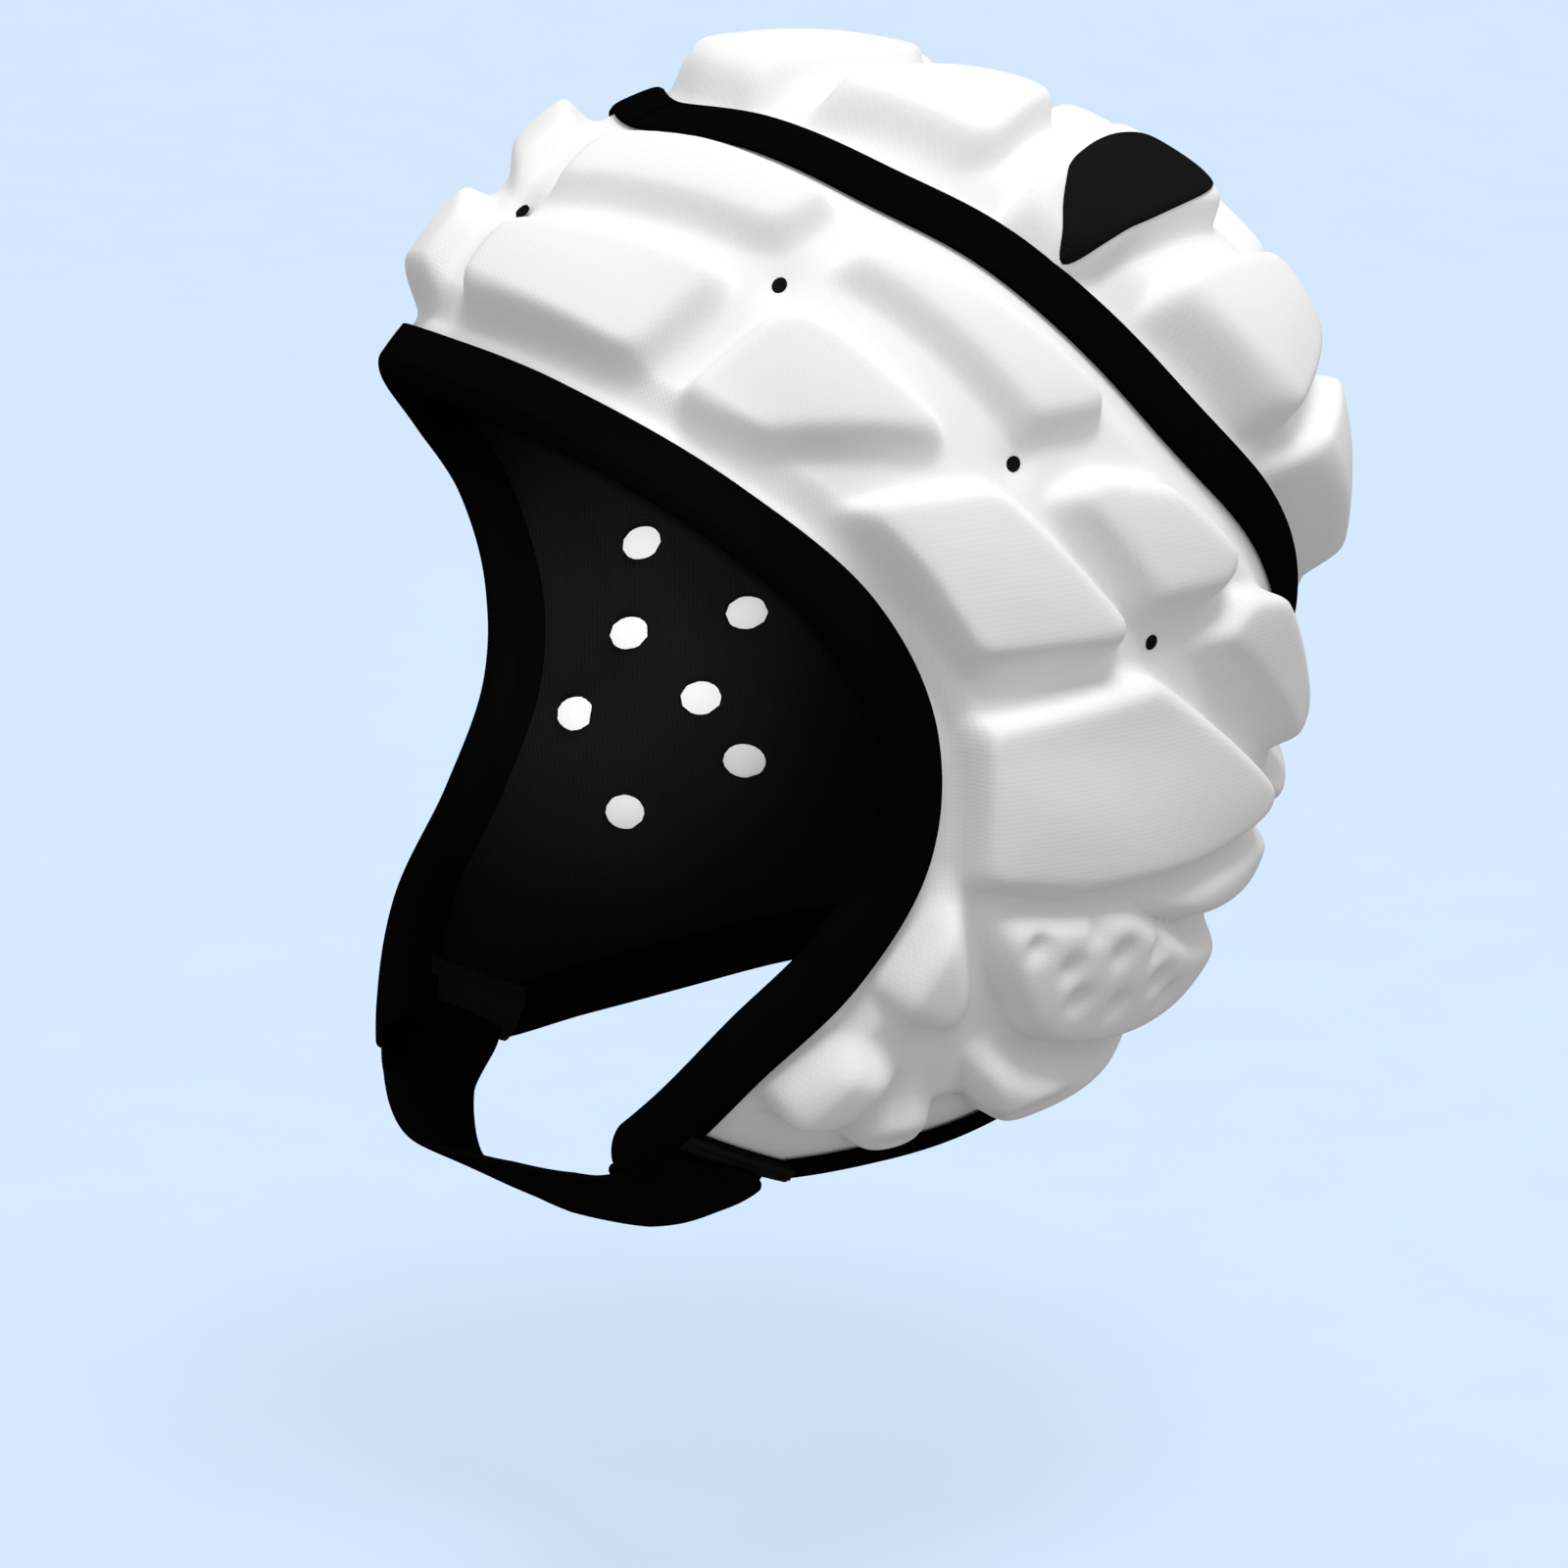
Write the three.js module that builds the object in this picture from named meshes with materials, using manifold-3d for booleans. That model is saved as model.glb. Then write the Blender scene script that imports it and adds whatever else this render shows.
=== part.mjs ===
// Padded sports helmet: a soft shell of raised foam blocks with tape bindings, a lining and a chin strap.
// Millimetres. The wearer looks along -Y, +X is the wearer's left and +Z is up.
// The origin is the inside of the crown, where the helmet sits on the head.
import * as THREE from "three";
import { mergeVertices } from "three/addons/utils/BufferGeometryUtils.js";
import Module from "manifold-3d";

const wasm = await Module();
wasm.setup();

// Driving sizes
const HALF_WIDTH = 82; // from the middle of the head to the channel floor beside the ear
const PANEL_WALL = 4; // foam and cloth under the channels
const PAD_RISE = 10; // top of a foam block above the channel floor
const LINING_WALL = 1.5;
const GAP = 0.3; // clearance between pieces that lie on each other
const TAPE_WALL = 1.2; // binding and band tape
const TAPE_GAP = 0.6; // clearance under a tape, which bridges the panel's flat facets
const FACE_TAPE = 9.5; // binding width on the outside, round the face
const NECK_TAPE = 6;
const HEM_TAPE = 5.5;
const BAND_WIDTH = 10;
const STRAP_WALL = 2;
const PATCH_WALL = 0.8;
const VENT_DIAMETER = 4;
const EAR_HOLE_DIAMETER = 10;

// Side view of the channel floor round the middle of the head: angle 0 is the back, 90 up, 180 the front.
// square is the power of the rounded section that runs from this outline over to the ear.
const SIDE_PROFILE = [
  { angle: 0, radius: 112, square: 2.1 },
  { angle: 30, radius: 124.5, square: 2.5 },
  { angle: 60, radius: 118, square: 2.7 },
  { angle: 90, radius: 110.5, square: 2.3 },
  { angle: 115, radius: 98.5, square: 1.75 },
  { angle: 135, radius: 90.5, square: 1.75 },
  { angle: 160, radius: 100, square: 1.85 },
  { angle: 190, radius: 109, square: 2.1 },
  { angle: 225, radius: 111, square: 2.1 },
  { angle: 250, radius: 111, square: 2.1 },
  { angle: 275, radius: 109, square: 2.2 },
  { angle: 300, radius: 100, square: 2.35 },
  { angle: 330, radius: 101, square: 2.3 },
];

// Lines on the left half, in degrees aft and up from the point straight out to the wearer's left.
// 90 degrees from that point is the middle plane of the head.
const FACE_EDGE = [
  { aft: -65, rise: 62.2 },
  { aft: -47, rise: 48.5 },
  { aft: -27, rise: 32 },
  { aft: -13, rise: 17 },
  { aft: -6.5, rise: 2 },
  { aft: -7, rise: -11 },
  { aft: -14, rise: -24 },
  { aft: -24, rise: -35.5 },
  { aft: -31, rise: -47 },
];
const NECK_EDGE = [
  { aft: -12, rise: -55.5 },
  { aft: 2, rise: -54 },
  { aft: 17, rise: -52.5 },
  { aft: 32, rise: -51 },
  { aft: 48, rise: -50.5 },
  { aft: 72.6, rise: -53.2 },
];
const BAND_LINE = [
  { aft: -10.5, rise: 89.4 },
  { aft: -3.5, rise: 77.5 },
  { aft: 5, rise: 65 },
  { aft: 14.5, rise: 55.5 },
  { aft: 24.5, rise: 44.5 },
  { aft: 36, rise: 32 },
  { aft: 50, rise: 19.5 },
  { aft: 66, rise: 5 },
  { aft: 79, rise: -4.5 },
  { aft: 89.7, rise: -7.5 },
];

// Places that the wrap's grid lines bend towards on their way from the band down to the free edge.
// at is the part of the way round from the brow to the nape.
const WRAP_GUIDE = [
  { at: 0, aft: -38, rise: 81.6 },
  { at: 0.22, aft: -7, rise: 45 },
  { at: 0.36, aft: 11, rise: 21 },
  { at: 0.45, aft: 15, rise: 0 },
  { at: 0.56, aft: 14, rise: -32 },
  { at: 0.67, aft: 23, rise: -30 },
  { at: 0.83, aft: 46, rise: -18 },
  { at: 1, aft: 86, rise: -26.5 },
];

// Foam blocks: corners as [aft, rise].
// A middle block lists its left half, from the middle plane and back to it.
const WRAP_PADS = [
  {
    name: "brow_upper",
    corners: [[-21, 85], [-10, 75.3], [-1.8, 63.5], [-1.3, 61.5], [-9.3, 59.8], [-12.5, 61.3], [-34.5, 80]],
  },
  {
    name: "brow_lower",
    corners: [
      [-39.8, 77.8], [-33, 74.5], [-15.3, 59.5], [-17.4, 57],
      [-30.7, 51.5], [-35, 53.8], [-50.5, 66.5], [-52.5, 70],
    ],
  },
  {
    name: "temple_upper",
    corners: [[-6.5, 56], [-1, 57.5], [10, 50], [22.5, 37.3], [22, 33.8], [11.5, 34.3]],
  },
  {
    name: "temple_lower",
    corners: [[-28, 48.5], [-13, 54.3], [-8, 52], [3, 37], [1.5, 34], [-19, 39.3], [-26.5, 44.5]],
  },
  {
    name: "side_upper",
    corners: [[13, 28.5], [19, 30.5], [29, 28], [40.5, 18], [37.5, 13.2], [26, 13.5]],
  },
  { name: "side_lower", corners: [[-12, 32], [7, 31.5], [25, 13.5], [23.5, 9.5], [2.5, 10.5]] },
  {
    name: "rear_upper",
    corners: [[34.5, 9.2], [41, 14.5], [50, 13], [61, 4.5], [72, -6], [66, -10], [59.5, -9.3]],
  },
  {
    name: "rear_lower",
    corners: [[2.5, 5.5], [28, 8], [57, -12], [55.5, -16.5], [37, -18.5], [18, -18.5], [3, -16]],
  },
  { name: "rear_strip", corners: [[31, -21.5], [57.5, -18.8], [63, -23], [56, -29.3], [38, -26]] },
  {
    name: "ear",
    corners: [
      [4.5, -19.5], [12, -34], [28, -40.3], [44, -42.5], [55.5, -34], [37, -28.8], [27, -21],
    ],
  },
  { name: "cheek_front", corners: [[-1.5, -17], [1.5, -17], [5.5, -31], [3, -33.5], [-8, -28.5]] },
  {
    name: "cheek_lower",
    corners: [[-11, -31.5], [-2.5, -36], [-2.5, -38.5], [-10, -43.5], [-16.5, -43.5], [-19, -40]],
  },
  {
    name: "cheek_end",
    corners: [[0.5, -37], [4, -42], [4, -47], [-2.5, -48.5], [-7.5, -46.5]],
  },
  {
    name: "cheek_back",
    corners: [[6.5, -35], [12.5, -37.8], [27, -42.6], [42, -45.8], [21, -47.3], [9, -47]],
  },
  { name: "nape_side", corners: [[49, -45], [54.5, -41], [60, -33.5], [62.5, -43], [57, -45.8]] },
  {
    name: "back_upper",
    middle: true,
    corners: [[88.6, -15.6], [78, -11.5], [62, -14.2], [62.5, -17.5], [72, -23.5], [84.8, -30]],
  },
  {
    name: "nape",
    middle: true,
    corners: [[82.7, -35.5], [67, -29.5], [66, -42], [77.2, -46.2]],
  },
];
const PATCHED_PAD = "crown_side";
const CROWN_PADS = [
  {
    name: "crown_top",
    middle: true,
    corners: [[-4.5, 89.9], [-1.5, 81], [12, 81], [25, 79.5], [34, 83.3]],
  },
  {
    name: "crown_front",
    corners: [[2.5, 76.5], [14.8, 63.3], [19, 62], [36, 67.5], [41, 73], [28.5, 76], [9, 78]],
  },
  {
    name: PATCHED_PAD,
    corners: [[18, 57.5], [22.5, 51], [26.5, 49], [50, 50.5], [57, 56], [43, 66], [34, 63]],
  },
  {
    name: "crown_rear",
    corners: [[30, 44.5], [34, 46.5], [54, 47], [60, 44], [62.5, 36], [48, 28.5], [43.5, 30.5]],
  },
  { name: "crown_low", corners: [[47, 26], [51, 27.5], [63, 33.5], [71, 28], [74, 13.5], [68, 10]] },
  {
    name: "crown_middle",
    middle: true,
    corners: [[65.3, 61.9], [62, 53], [65, 44], [77.9, 45]],
  },
  {
    name: "crown_back",
    middle: true,
    corners: [[80, 41.2], [71.5, 37.5], [76, 27], [80, 11], [89.7, 7]],
  },
];

// Small holes on the left half, the first vent on the middle plane: vents go through the panel, ear holes
// through the lining.
const WRAP_VENTS = [[-36.8, 82.1], [-10.8, 57.3], [11.3, 33], [30.5, 10.5], [0.5, -35]];
const EAR_HOLES = [[17, 7], [32, -4], [15, -6], [25, -16], [6, -17], [30, -25], [12, -31]];

// Chin strap from the right cheek to the left: middle of each section, seen from the middle of the head.
// width is the strap's width there, and its sections lie level with the cheek ends.
const STRAP_LINE = [
  { x: -54.6, y: -32.5, z: -79, width: 27 },
  { x: -53.5, y: -35.5, z: -88, width: 23 },
  { x: -42, y: -38, z: -97.5, width: 20 },
  { x: -20, y: -34, z: -99.5, width: 20 },
  { x: 0, y: -30, z: -98.5, width: 20 },
  { x: 20, y: -29, z: -94.5, width: 20 },
  { x: 38, y: -30, z: -87.8, width: 20 },
  { x: 50, y: -31.5, z: -83, width: 19 },
];
const TAB_LINE = [
  { x: 54.2, y: -32.5, z: -79.6, width: 25 },
  { x: 48, y: -31.5, z: -80.3, width: 19 },
  { x: 36, y: -30, z: -85.2, width: 18 },
  { x: 22, y: -29, z: -90.6, width: 17 },
];
const STRAP_LEVEL = new THREE.Vector3(0, 0.92, -0.39).normalize(); // front edge to back edge

// Mesh density
const FACE_STEPS = 10;
const HEM_STEPS = 2;
const NECK_STEPS = 6;
const WRAP_ROWS = 8;
const CROWN_ROWS = 4;
const ROW_CROWDING = 1.25; // rows lie closer together towards the free edge
const BAND_AT_CHEEK = [0.42, 0.5]; // part of the band line that faces the cheek end's two corners
const PAD_STEP = 40; // longest straight piece of a block's outline
const HOLE_SIDES = 6;
const FACE_TAPE_STEPS = 16;
const NECK_TAPE_STEPS = 7;
const BAND_STEPS = 36;

const FABRIC_WHITE = new THREE.MeshStandardMaterial({ color: 0xf2f2f2, roughness: 0.85, metalness: 0 });
const TAPE_BLACK = new THREE.MeshStandardMaterial({ color: 0x060606, roughness: 0.8, metalness: 0 });
const LINING_BLACK = new THREE.MeshStandardMaterial({ color: 0x121212, roughness: 0.9, metalness: 0 });
const HEM_GREY = new THREE.MeshStandardMaterial({ color: 0x242424, roughness: 0.75, metalness: 0 });

// Head form

// Value of one column of the side profile at an angle: a smooth curve through the rows, closed on itself.
function profileAt(angle, column) {
  const rows = SIDE_PROFILE;
  const turn = ((angle % 360) + 360) % 360;
  const next = rows.findIndex((row) => row.angle > turn);
  const index = next < 0 ? rows.length - 1 : next - 1;
  const pick = (k) => {
    const row = rows[(k + rows.length) % rows.length];
    return { at: row.angle + 360 * Math.floor(k / rows.length), value: row[column] };
  };
  const [a, b, c, d] = [-1, 0, 1, 2].map((k) => pick(index + k));
  const span = c.at - b.at;
  const t = (turn - b.at) / span;
  const slopeB = ((c.value - a.value) / (c.at - a.at)) * span;
  const slopeC = ((d.value - b.value) / (d.at - b.at)) * span;
  const t2 = t * t;
  const t3 = t2 * t;
  const fromB = (2 * t3 - 3 * t2 + 1) * b.value + (t3 - 2 * t2 + t) * slopeB;
  const fromC = (3 * t2 - 2 * t3) * c.value + (t3 - t2) * slopeC;
  return fromB + fromC;
}

// Distance from the middle of the head to the channel floor, raised by lift, along a unit direction.
function reach(direction, lift = 0) {
  const angle = THREE.MathUtils.radToDeg(Math.atan2(direction.z, direction.y));
  const power = profileAt(angle, "square");
  const side = Math.abs(direction.x) / (HALF_WIDTH + lift);
  const round = Math.hypot(direction.y, direction.z) / (profileAt(angle, "radius") + lift);
  return (side ** power + round ** power) ** (-1 / power);
}

const LINING_TOP = -(PANEL_WALL + GAP);
const LINING_BOTTOM = LINING_TOP - LINING_WALL;
const UP = new THREE.Vector3(0, 0, 1);
const HEAD_MIDDLE = UP.clone().multiplyScalar(-reach(UP, LINING_BOTTOM));

function surfacePoint(direction, lift) {
  return direction.clone().multiplyScalar(reach(direction, lift)).add(HEAD_MIDDLE);
}

// Unit direction for a place given in degrees aft and up from straight left.
function toDirection(aft, rise) {
  const away = THREE.MathUtils.degToRad(Math.hypot(aft, rise));
  const spread = Math.sin(away) / Math.max(Math.hypot(aft, rise), 1e-9);
  return new THREE.Vector3(Math.cos(away), spread * aft, spread * rise);
}

const mirrored = (v) => new THREE.Vector3(-v.x, v.y, v.z);

function between(a, b, t) {
  const angle = a.angleTo(b);
  const start = a.clone().multiplyScalar(Math.sin((1 - t) * angle));
  return start.addScaledVector(b, Math.sin(t * angle)).normalize();
}

// Direction reached from a start by going an arc length in millimetres along a tangent.
function stepAlong(start, tangent, length) {
  const angle = length / reach(start);
  const ahead = start.clone().multiplyScalar(Math.cos(angle));
  return ahead.addScaledVector(tangent, Math.sin(angle)).normalize();
}

// Lines on the head form

const rangeOf = (count, make) => Array.from({ length: count }, (_, k) => make(k));

const rowsToDirections = (rows) => rows.map(({ aft, rise }) => toDirection(aft, rise));

// Evenly spaced directions along the left half of a line that crosses the middle plane at its first row.
// part is the share of the half that they cover, from the middle plane.
function halfLine(rows, steps, part = 1) {
  const left = rowsToDirections(rows);
  const right = left.slice(1).reverse().map(mirrored);
  const curve = new THREE.CatmullRomCurve3([...right, ...left], false, "centripetal");
  return rangeOf(steps + 1, (k) => curve.getPointAt(0.5 + (0.5 * part * k) / steps).normalize());
}

const wholeLoop = (half) => [...half, ...half.slice(1, -1).reverse().map(mirrored)];

const faceHalf = halfLine(FACE_EDGE, FACE_STEPS);
const neckHalf = halfLine([...NECK_EDGE].reverse(), NECK_STEPS).reverse();
const cheekTip = faceHalf[FACE_STEPS];
const cheekCorner = neckHalf[0];
const hemHalf = rangeOf(HEM_STEPS - 1, (k) => between(cheekTip, cheekCorner, (k + 1) / HEM_STEPS));
const rimLoop = wholeLoop([...faceHalf, ...hemHalf, ...neckHalf]);

// The band is a closed loop, so its curve is closed, and each station of the rim has its own place on it.
const bandRows = rowsToDirections(BAND_LINE);
const bandCurve = new THREE.CatmullRomCurve3(wholeLoop(bandRows), true, "centripetal");
const [bandAtTip, bandAtCorner] = BAND_AT_CHEEK;
const bandShares = [
  ...rangeOf(FACE_STEPS + 1, (k) => (bandAtTip * k) / FACE_STEPS),
  ...rangeOf(HEM_STEPS, (k) => bandAtTip + ((bandAtCorner - bandAtTip) * (k + 1)) / HEM_STEPS),
  ...rangeOf(NECK_STEPS, (k) => bandAtCorner + ((1 - bandAtCorner) * (k + 1)) / NECK_STEPS),
];
const bandLoop = wholeLoop(bandShares.map((share) => bandCurve.getPointAt(share / 2).normalize()));

// Tangents at each station of a line that point across it, to the left of its run, seen from outside.
function acrossTangents(line, closed) {
  const last = line.length - 1;
  return line.map((direction, k) => {
    const before = line[k > 0 ? k - 1 : closed ? last : 0];
    const after = line[k < last ? k + 1 : closed ? 0 : last];
    const run = after.clone().sub(before);
    return direction.clone().cross(run).normalize();
  });
}

// Meshes

// Closed solid from rings of equal length. The last ring joins the first, or both ends are covered:
// with a point where the ring has a tip, else with the given triangles between the ring's own points.
function ringSolid(rings, { closed = false, cap = [] } = {}) {
  const sides = rings[0].length;
  const points = rings.flat();
  const faces = [];
  const count = closed ? rings.length : rings.length - 1;
  for (let r = 0; r < count; r += 1) {
    for (let k = 0; k < sides; k += 1) {
      const a = r * sides + k;
      const b = r * sides + ((k + 1) % sides);
      const c = ((r + 1) % rings.length) * sides + k;
      const d = ((r + 1) % rings.length) * sides + ((k + 1) % sides);
      faces.push([a, b, d], [a, d, c]);
    }
  }
  const cover = (r, turned) => {
    const around = rings[r].map((_, k) => [k, (k + 1) % sides, sides]);
    const corners = rings[r].map((_, k) => r * sides + k);
    if (rings[r].tip) corners.push(points.push(rings[r].tip) - 1);
    for (const [a, b, c] of rings[r].tip ? around : cap) {
      faces.push(turned ? [corners[b], corners[a], corners[c]] : [corners[a], corners[b], corners[c]]);
    }
  };
  if (!closed) {
    cover(0, true);
    cover(rings.length - 1, false);
  }
  return outward(points, faces);
}

// Geometry with its faces turned outwards.
function outward(points, faces) {
  let volume = 0;
  for (const [a, b, c] of faces) volume += points[a].dot(points[b].clone().cross(points[c]));
  const turned = volume < 0 ? faces.map(([a, b, c]) => [a, c, b]) : faces;
  const geometry = new THREE.BufferGeometry();
  const places = points.flatMap((p) => p.toArray());
  geometry.setAttribute("position", new THREE.Float32BufferAttribute(places, 3));
  geometry.setIndex(turned.flat());
  return geometry;
}

function toSolid(geometry) {
  const bare = geometry.clone();
  bare.deleteAttribute("normal");
  bare.deleteAttribute("uv");
  const merged = mergeVertices(bare, 1e-4);
  const vertProperties = new Float32Array(merged.attributes.position.array);
  const triVerts = new Uint32Array(merged.index.array);
  return new wasm.Manifold(new wasm.Mesh({ numProp: 3, vertProperties, triVerts }));
}

function toGeometry(solid) {
  const { vertProperties, triVerts } = solid.getMesh();
  const geometry = new THREE.BufferGeometry();
  geometry.setAttribute("position", new THREE.BufferAttribute(new Float32Array(vertProperties), 3));
  geometry.setIndex(new THREE.BufferAttribute(new Uint32Array(triVerts), 1));
  return geometry;
}

// Panels and lining

const EDGE_INSET = 3; // the panels end inside the tape that is folded over their edge
const CORNER_INSET = 4.4; // the same at the two corners of a cheek's end
const SEAM_INSET = 0.2; // half the gap between the two panels, under the band
const rimAcross = acrossTangents(rimLoop, true);
const bandAcross = acrossTangents(bandLoop, true);
const CROWN_POLE = between(bandRows[0], bandRows.at(-1), 0.5);
const inwardSign = Math.sign(rimAcross[0].dot(bandLoop[0]));
const crownSign = Math.sign(bandAcross[0].dot(CROWN_POLE));

const cornerStations = [FACE_STEPS, FACE_STEPS + HEM_STEPS].flatMap((k) => [k, rimLoop.length - k]);
const panelEdge = rimLoop.map((direction, k) => {
  const inset = cornerStations.includes(k) ? CORNER_INSET : EDGE_INSET;
  return stepAlong(direction, rimAcross[k], inwardSign * inset);
});
const besideBand = (length) => bandLoop.map((direction, k) => stepAlong(direction, bandAcross[k], length));
const wrapSeam = besideBand(-crownSign * SEAM_INSET);
const crownSeam = besideBand(crownSign * SEAM_INSET);

const ring = (directions, lift) => directions.map((direction) => surfacePoint(direction, lift));

// Directions round the whole loop of the guide, one for each station.
function guideLoop() {
  const steps = FACE_STEPS + HEM_STEPS + NECK_STEPS;
  const half = rangeOf(steps + 1, (k) => {
    const share = k / steps;
    const next = Math.max(1, WRAP_GUIDE.findIndex(({ at }) => at >= share));
    const [a, b] = [WRAP_GUIDE[next - 1], WRAP_GUIDE[next]];
    return between(toDirection(a.aft, a.rise), toDirection(b.aft, b.rise), (share - a.at) / (b.at - a.at));
  });
  return wholeLoop(half);
}

// Rows of directions from the seam under the band, bent towards the guide, down to the free edge.
function wrapRows(seam) {
  const guide = guideLoop();
  return rangeOf(WRAP_ROWS + 1, (r) => {
    const share = 1 - (1 - r / WRAP_ROWS) ** ROW_CROWDING;
    return seam.map((direction, k) => {
      const bent = direction.clone().multiplyScalar((1 - share) ** 2);
      bent.addScaledVector(guide[k], 2 * share * (1 - share));
      return bent.addScaledVector(panelEdge[k], share ** 2).normalize();
    });
  });
}

// Rows of directions from the crown's middle out to the seam.
function crownRows(seam) {
  return rangeOf(CROWN_ROWS, (r) => {
    return seam.map((direction) => between(CROWN_POLE, direction, (r + 1) / CROWN_ROWS));
  });
}

// Skins at two lifts over the same rows, joined at the edges. Panels start with their inner skin and the
// lining with its outer one, so that skins which face each other are divided into the same triangles.
function skins(rows, first, second) {
  return [...rows.map((row) => ring(row, first)), ...rows.map((row) => ring(row, second)).reverse()];
}

function wrapShell(first, second) {
  return ringSolid(skins(wrapRows(wrapSeam), first, second), { closed: true });
}

function domeShell(rows, first, second) {
  const rings = skins(rows, first, second);
  rings[0].tip = surfacePoint(CROWN_POLE, first);
  rings.at(-1).tip = surfacePoint(CROWN_POLE, second);
  return ringSolid(rings);
}

// Foam blocks

const PAD_RINGS = [
  { lift: -2.2, inset: 0, share: 0.5 },
  { lift: -2.2, inset: 0, share: 1 },
  { lift: 6.3, inset: 3.2, share: 1 },
  { lift: 9.3, inset: 6.8, share: 1 },
  { lift: 9.9, inset: 6.8, share: 0.5 },
];
const PAD_SMALL = 36; // a block that reaches no further than this from its middle has no half-size rings
const PAD_CORNER_CUT = 4.5;
const PAD_LONG_SIDE = 12; // corners between two sides longer than this are cut off
const PAD_LEAST_TOP = 0.45; // a narrow block's top keeps this share of its outline

// Flat map of the head form round a middle direction, in millimetres.
function localMap(middle) {
  const radius = reach(middle);
  const east = new THREE.Vector3(0, 0, 1).cross(middle);
  if (east.length() < 0.2) east.set(1, 0, 0).addScaledVector(middle, -middle.x);
  east.normalize();
  const north = middle.clone().cross(east);
  const flatten = (direction) => {
    const angle = middle.angleTo(direction);
    const flat = new THREE.Vector2(direction.dot(east), direction.dot(north));
    return flat.setLength(angle * radius);
  };
  const raise = (flat) => {
    const angle = flat.length() / radius;
    const tangent = east.clone().multiplyScalar(flat.x).addScaledVector(north, flat.y).normalize();
    return middle.clone().multiplyScalar(Math.cos(angle)).addScaledVector(tangent, Math.sin(angle));
  };
  return { flatten, raise };
}

// Corners of a block as directions; a middle block's left half is completed by its mirror image.
function padCorners({ middle, corners }, side) {
  const left = corners.map(([aft, rise]) => toDirection(aft, rise));
  if (middle) return wholeLoop(left);
  return side > 0 ? left : left.map(mirrored);
}

// Outline of a block on its own flat map: corners cut off, long sides divided.
function padOutline(corners) {
  const middle = new THREE.Vector3();
  corners.forEach((corner) => middle.add(corner));
  middle.normalize();
  const map = localMap(middle);
  const flat = corners.map(map.flatten);
  const outline = [];
  const sharesCut = (a, b) => a.distanceTo(b) > PAD_LONG_SIDE;
  flat.forEach((corner, k) => {
    const before = flat[(k + flat.length - 1) % flat.length];
    const after = flat[(k + 1) % flat.length];
    const cut = sharesCut(before, corner) && sharesCut(corner, after) ? PAD_CORNER_CUT : 0;
    const towards = (other) => corner.clone().lerp(other, cut / corner.distanceTo(other));
    if (cut > 0) outline.push(towards(before));
    outline.push(towards(after));
    const pieces = Math.ceil(corner.distanceTo(after) / PAD_STEP);
    for (let p = 1; p < pieces; p += 1) outline.push(corner.clone().lerp(after, p / pieces));
  });
  const centre = new THREE.Vector2();
  outline.forEach((p) => centre.addScaledVector(p, 1 / outline.length));
  return { outline, map, centre };
}

function padRing({ outline, map, centre }, { lift, inset, share }) {
  return outline.map((p) => {
    const out = p.clone().sub(centre);
    const kept = share * Math.max(PAD_LEAST_TOP, 1 - inset / out.length());
    return surfacePoint(map.raise(centre.clone().addScaledVector(out, kept)), lift);
  });
}

function padSolid(corners) {
  const shape = padOutline(corners);
  const small = shape.outline.every((p) => p.distanceTo(shape.centre) < PAD_SMALL);
  const used = PAD_RINGS.filter(({ share }) => share === 1 || !small);
  const rings = used.map((row) => padRing(shape, row));
  const middle = shape.map.raise(shape.centre);
  rings[0].tip = surfacePoint(middle, used[0].lift);
  rings.at(-1).tip = surfacePoint(middle, PAD_RISE);
  return ringSolid(rings);
}

function eachPad(pads, make) {
  return pads.flatMap((pad) => (pad.middle ? [1] : [1, -1]).map((side) => make(padCorners(pad, side))));
}

const HOLE_EXTRA = 3; // a plug reaches this far past the layer that it cuts
const MIDDLE_TOLERANCE = 0.01; // holes nearer to the middle plane than this have no mirror image

// Round plug along a direction, for cutting a hole through the layers between two lifts.
function holePlug(direction, diameter, bottom, top) {
  const map = localMap(direction);
  const circle = (lift) => {
    const points = rangeOf(HOLE_SIDES, (k) => {
      const angle = (2 * Math.PI * k) / HOLE_SIDES;
      const flat = new THREE.Vector2(Math.cos(angle), Math.sin(angle)).multiplyScalar(diameter / 2);
      return surfacePoint(map.raise(flat), lift);
    });
    return Object.assign(points, { tip: surfacePoint(direction, lift) });
  };
  return ringSolid([circle(bottom), circle(top)]);
}

function bothSides(places) {
  const left = places.map(([aft, rise]) => toDirection(aft, rise));
  const beside = left.filter(({ x }) => x > MIDDLE_TOLERANCE);
  return [...left, ...beside.map(mirrored)];
}

function withHoles(solid, places, diameter, bottom, top) {
  return bothSides(places).reduce(
    (body, direction) => body.subtract(toSolid(holePlug(direction, diameter, bottom, top))),
    solid,
  );
}

function wrapPanel() {
  let body = toSolid(wrapShell(-PANEL_WALL, 0));
  for (const pad of eachPad(WRAP_PADS, padSolid)) body = body.add(toSolid(pad));
  return toGeometry(withHoles(body, WRAP_VENTS, VENT_DIAMETER, -PANEL_WALL - HOLE_EXTRA, PAD_RISE));
}

function crownPanel() {
  let body = toSolid(domeShell(crownRows(crownSeam), -PANEL_WALL, 0));
  for (const pad of eachPad(CROWN_PADS, padSolid)) body = body.add(toSolid(pad));
  return toGeometry(body);
}

function lining() {
  const rows = [...crownRows(bandLoop), ...wrapRows(bandLoop).slice(1)];
  const skin = toSolid(domeShell(rows, LINING_TOP, LINING_BOTTOM));
  const bottom = LINING_BOTTOM - HOLE_EXTRA;
  return toGeometry(withHoles(skin, EAR_HOLES, EAR_HOLE_DIAMETER, bottom, LINING_TOP + HOLE_EXTRA));
}

const PATCH_MARGIN = 0.4; // from the patch's edge to the edge of the block's flat top

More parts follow.
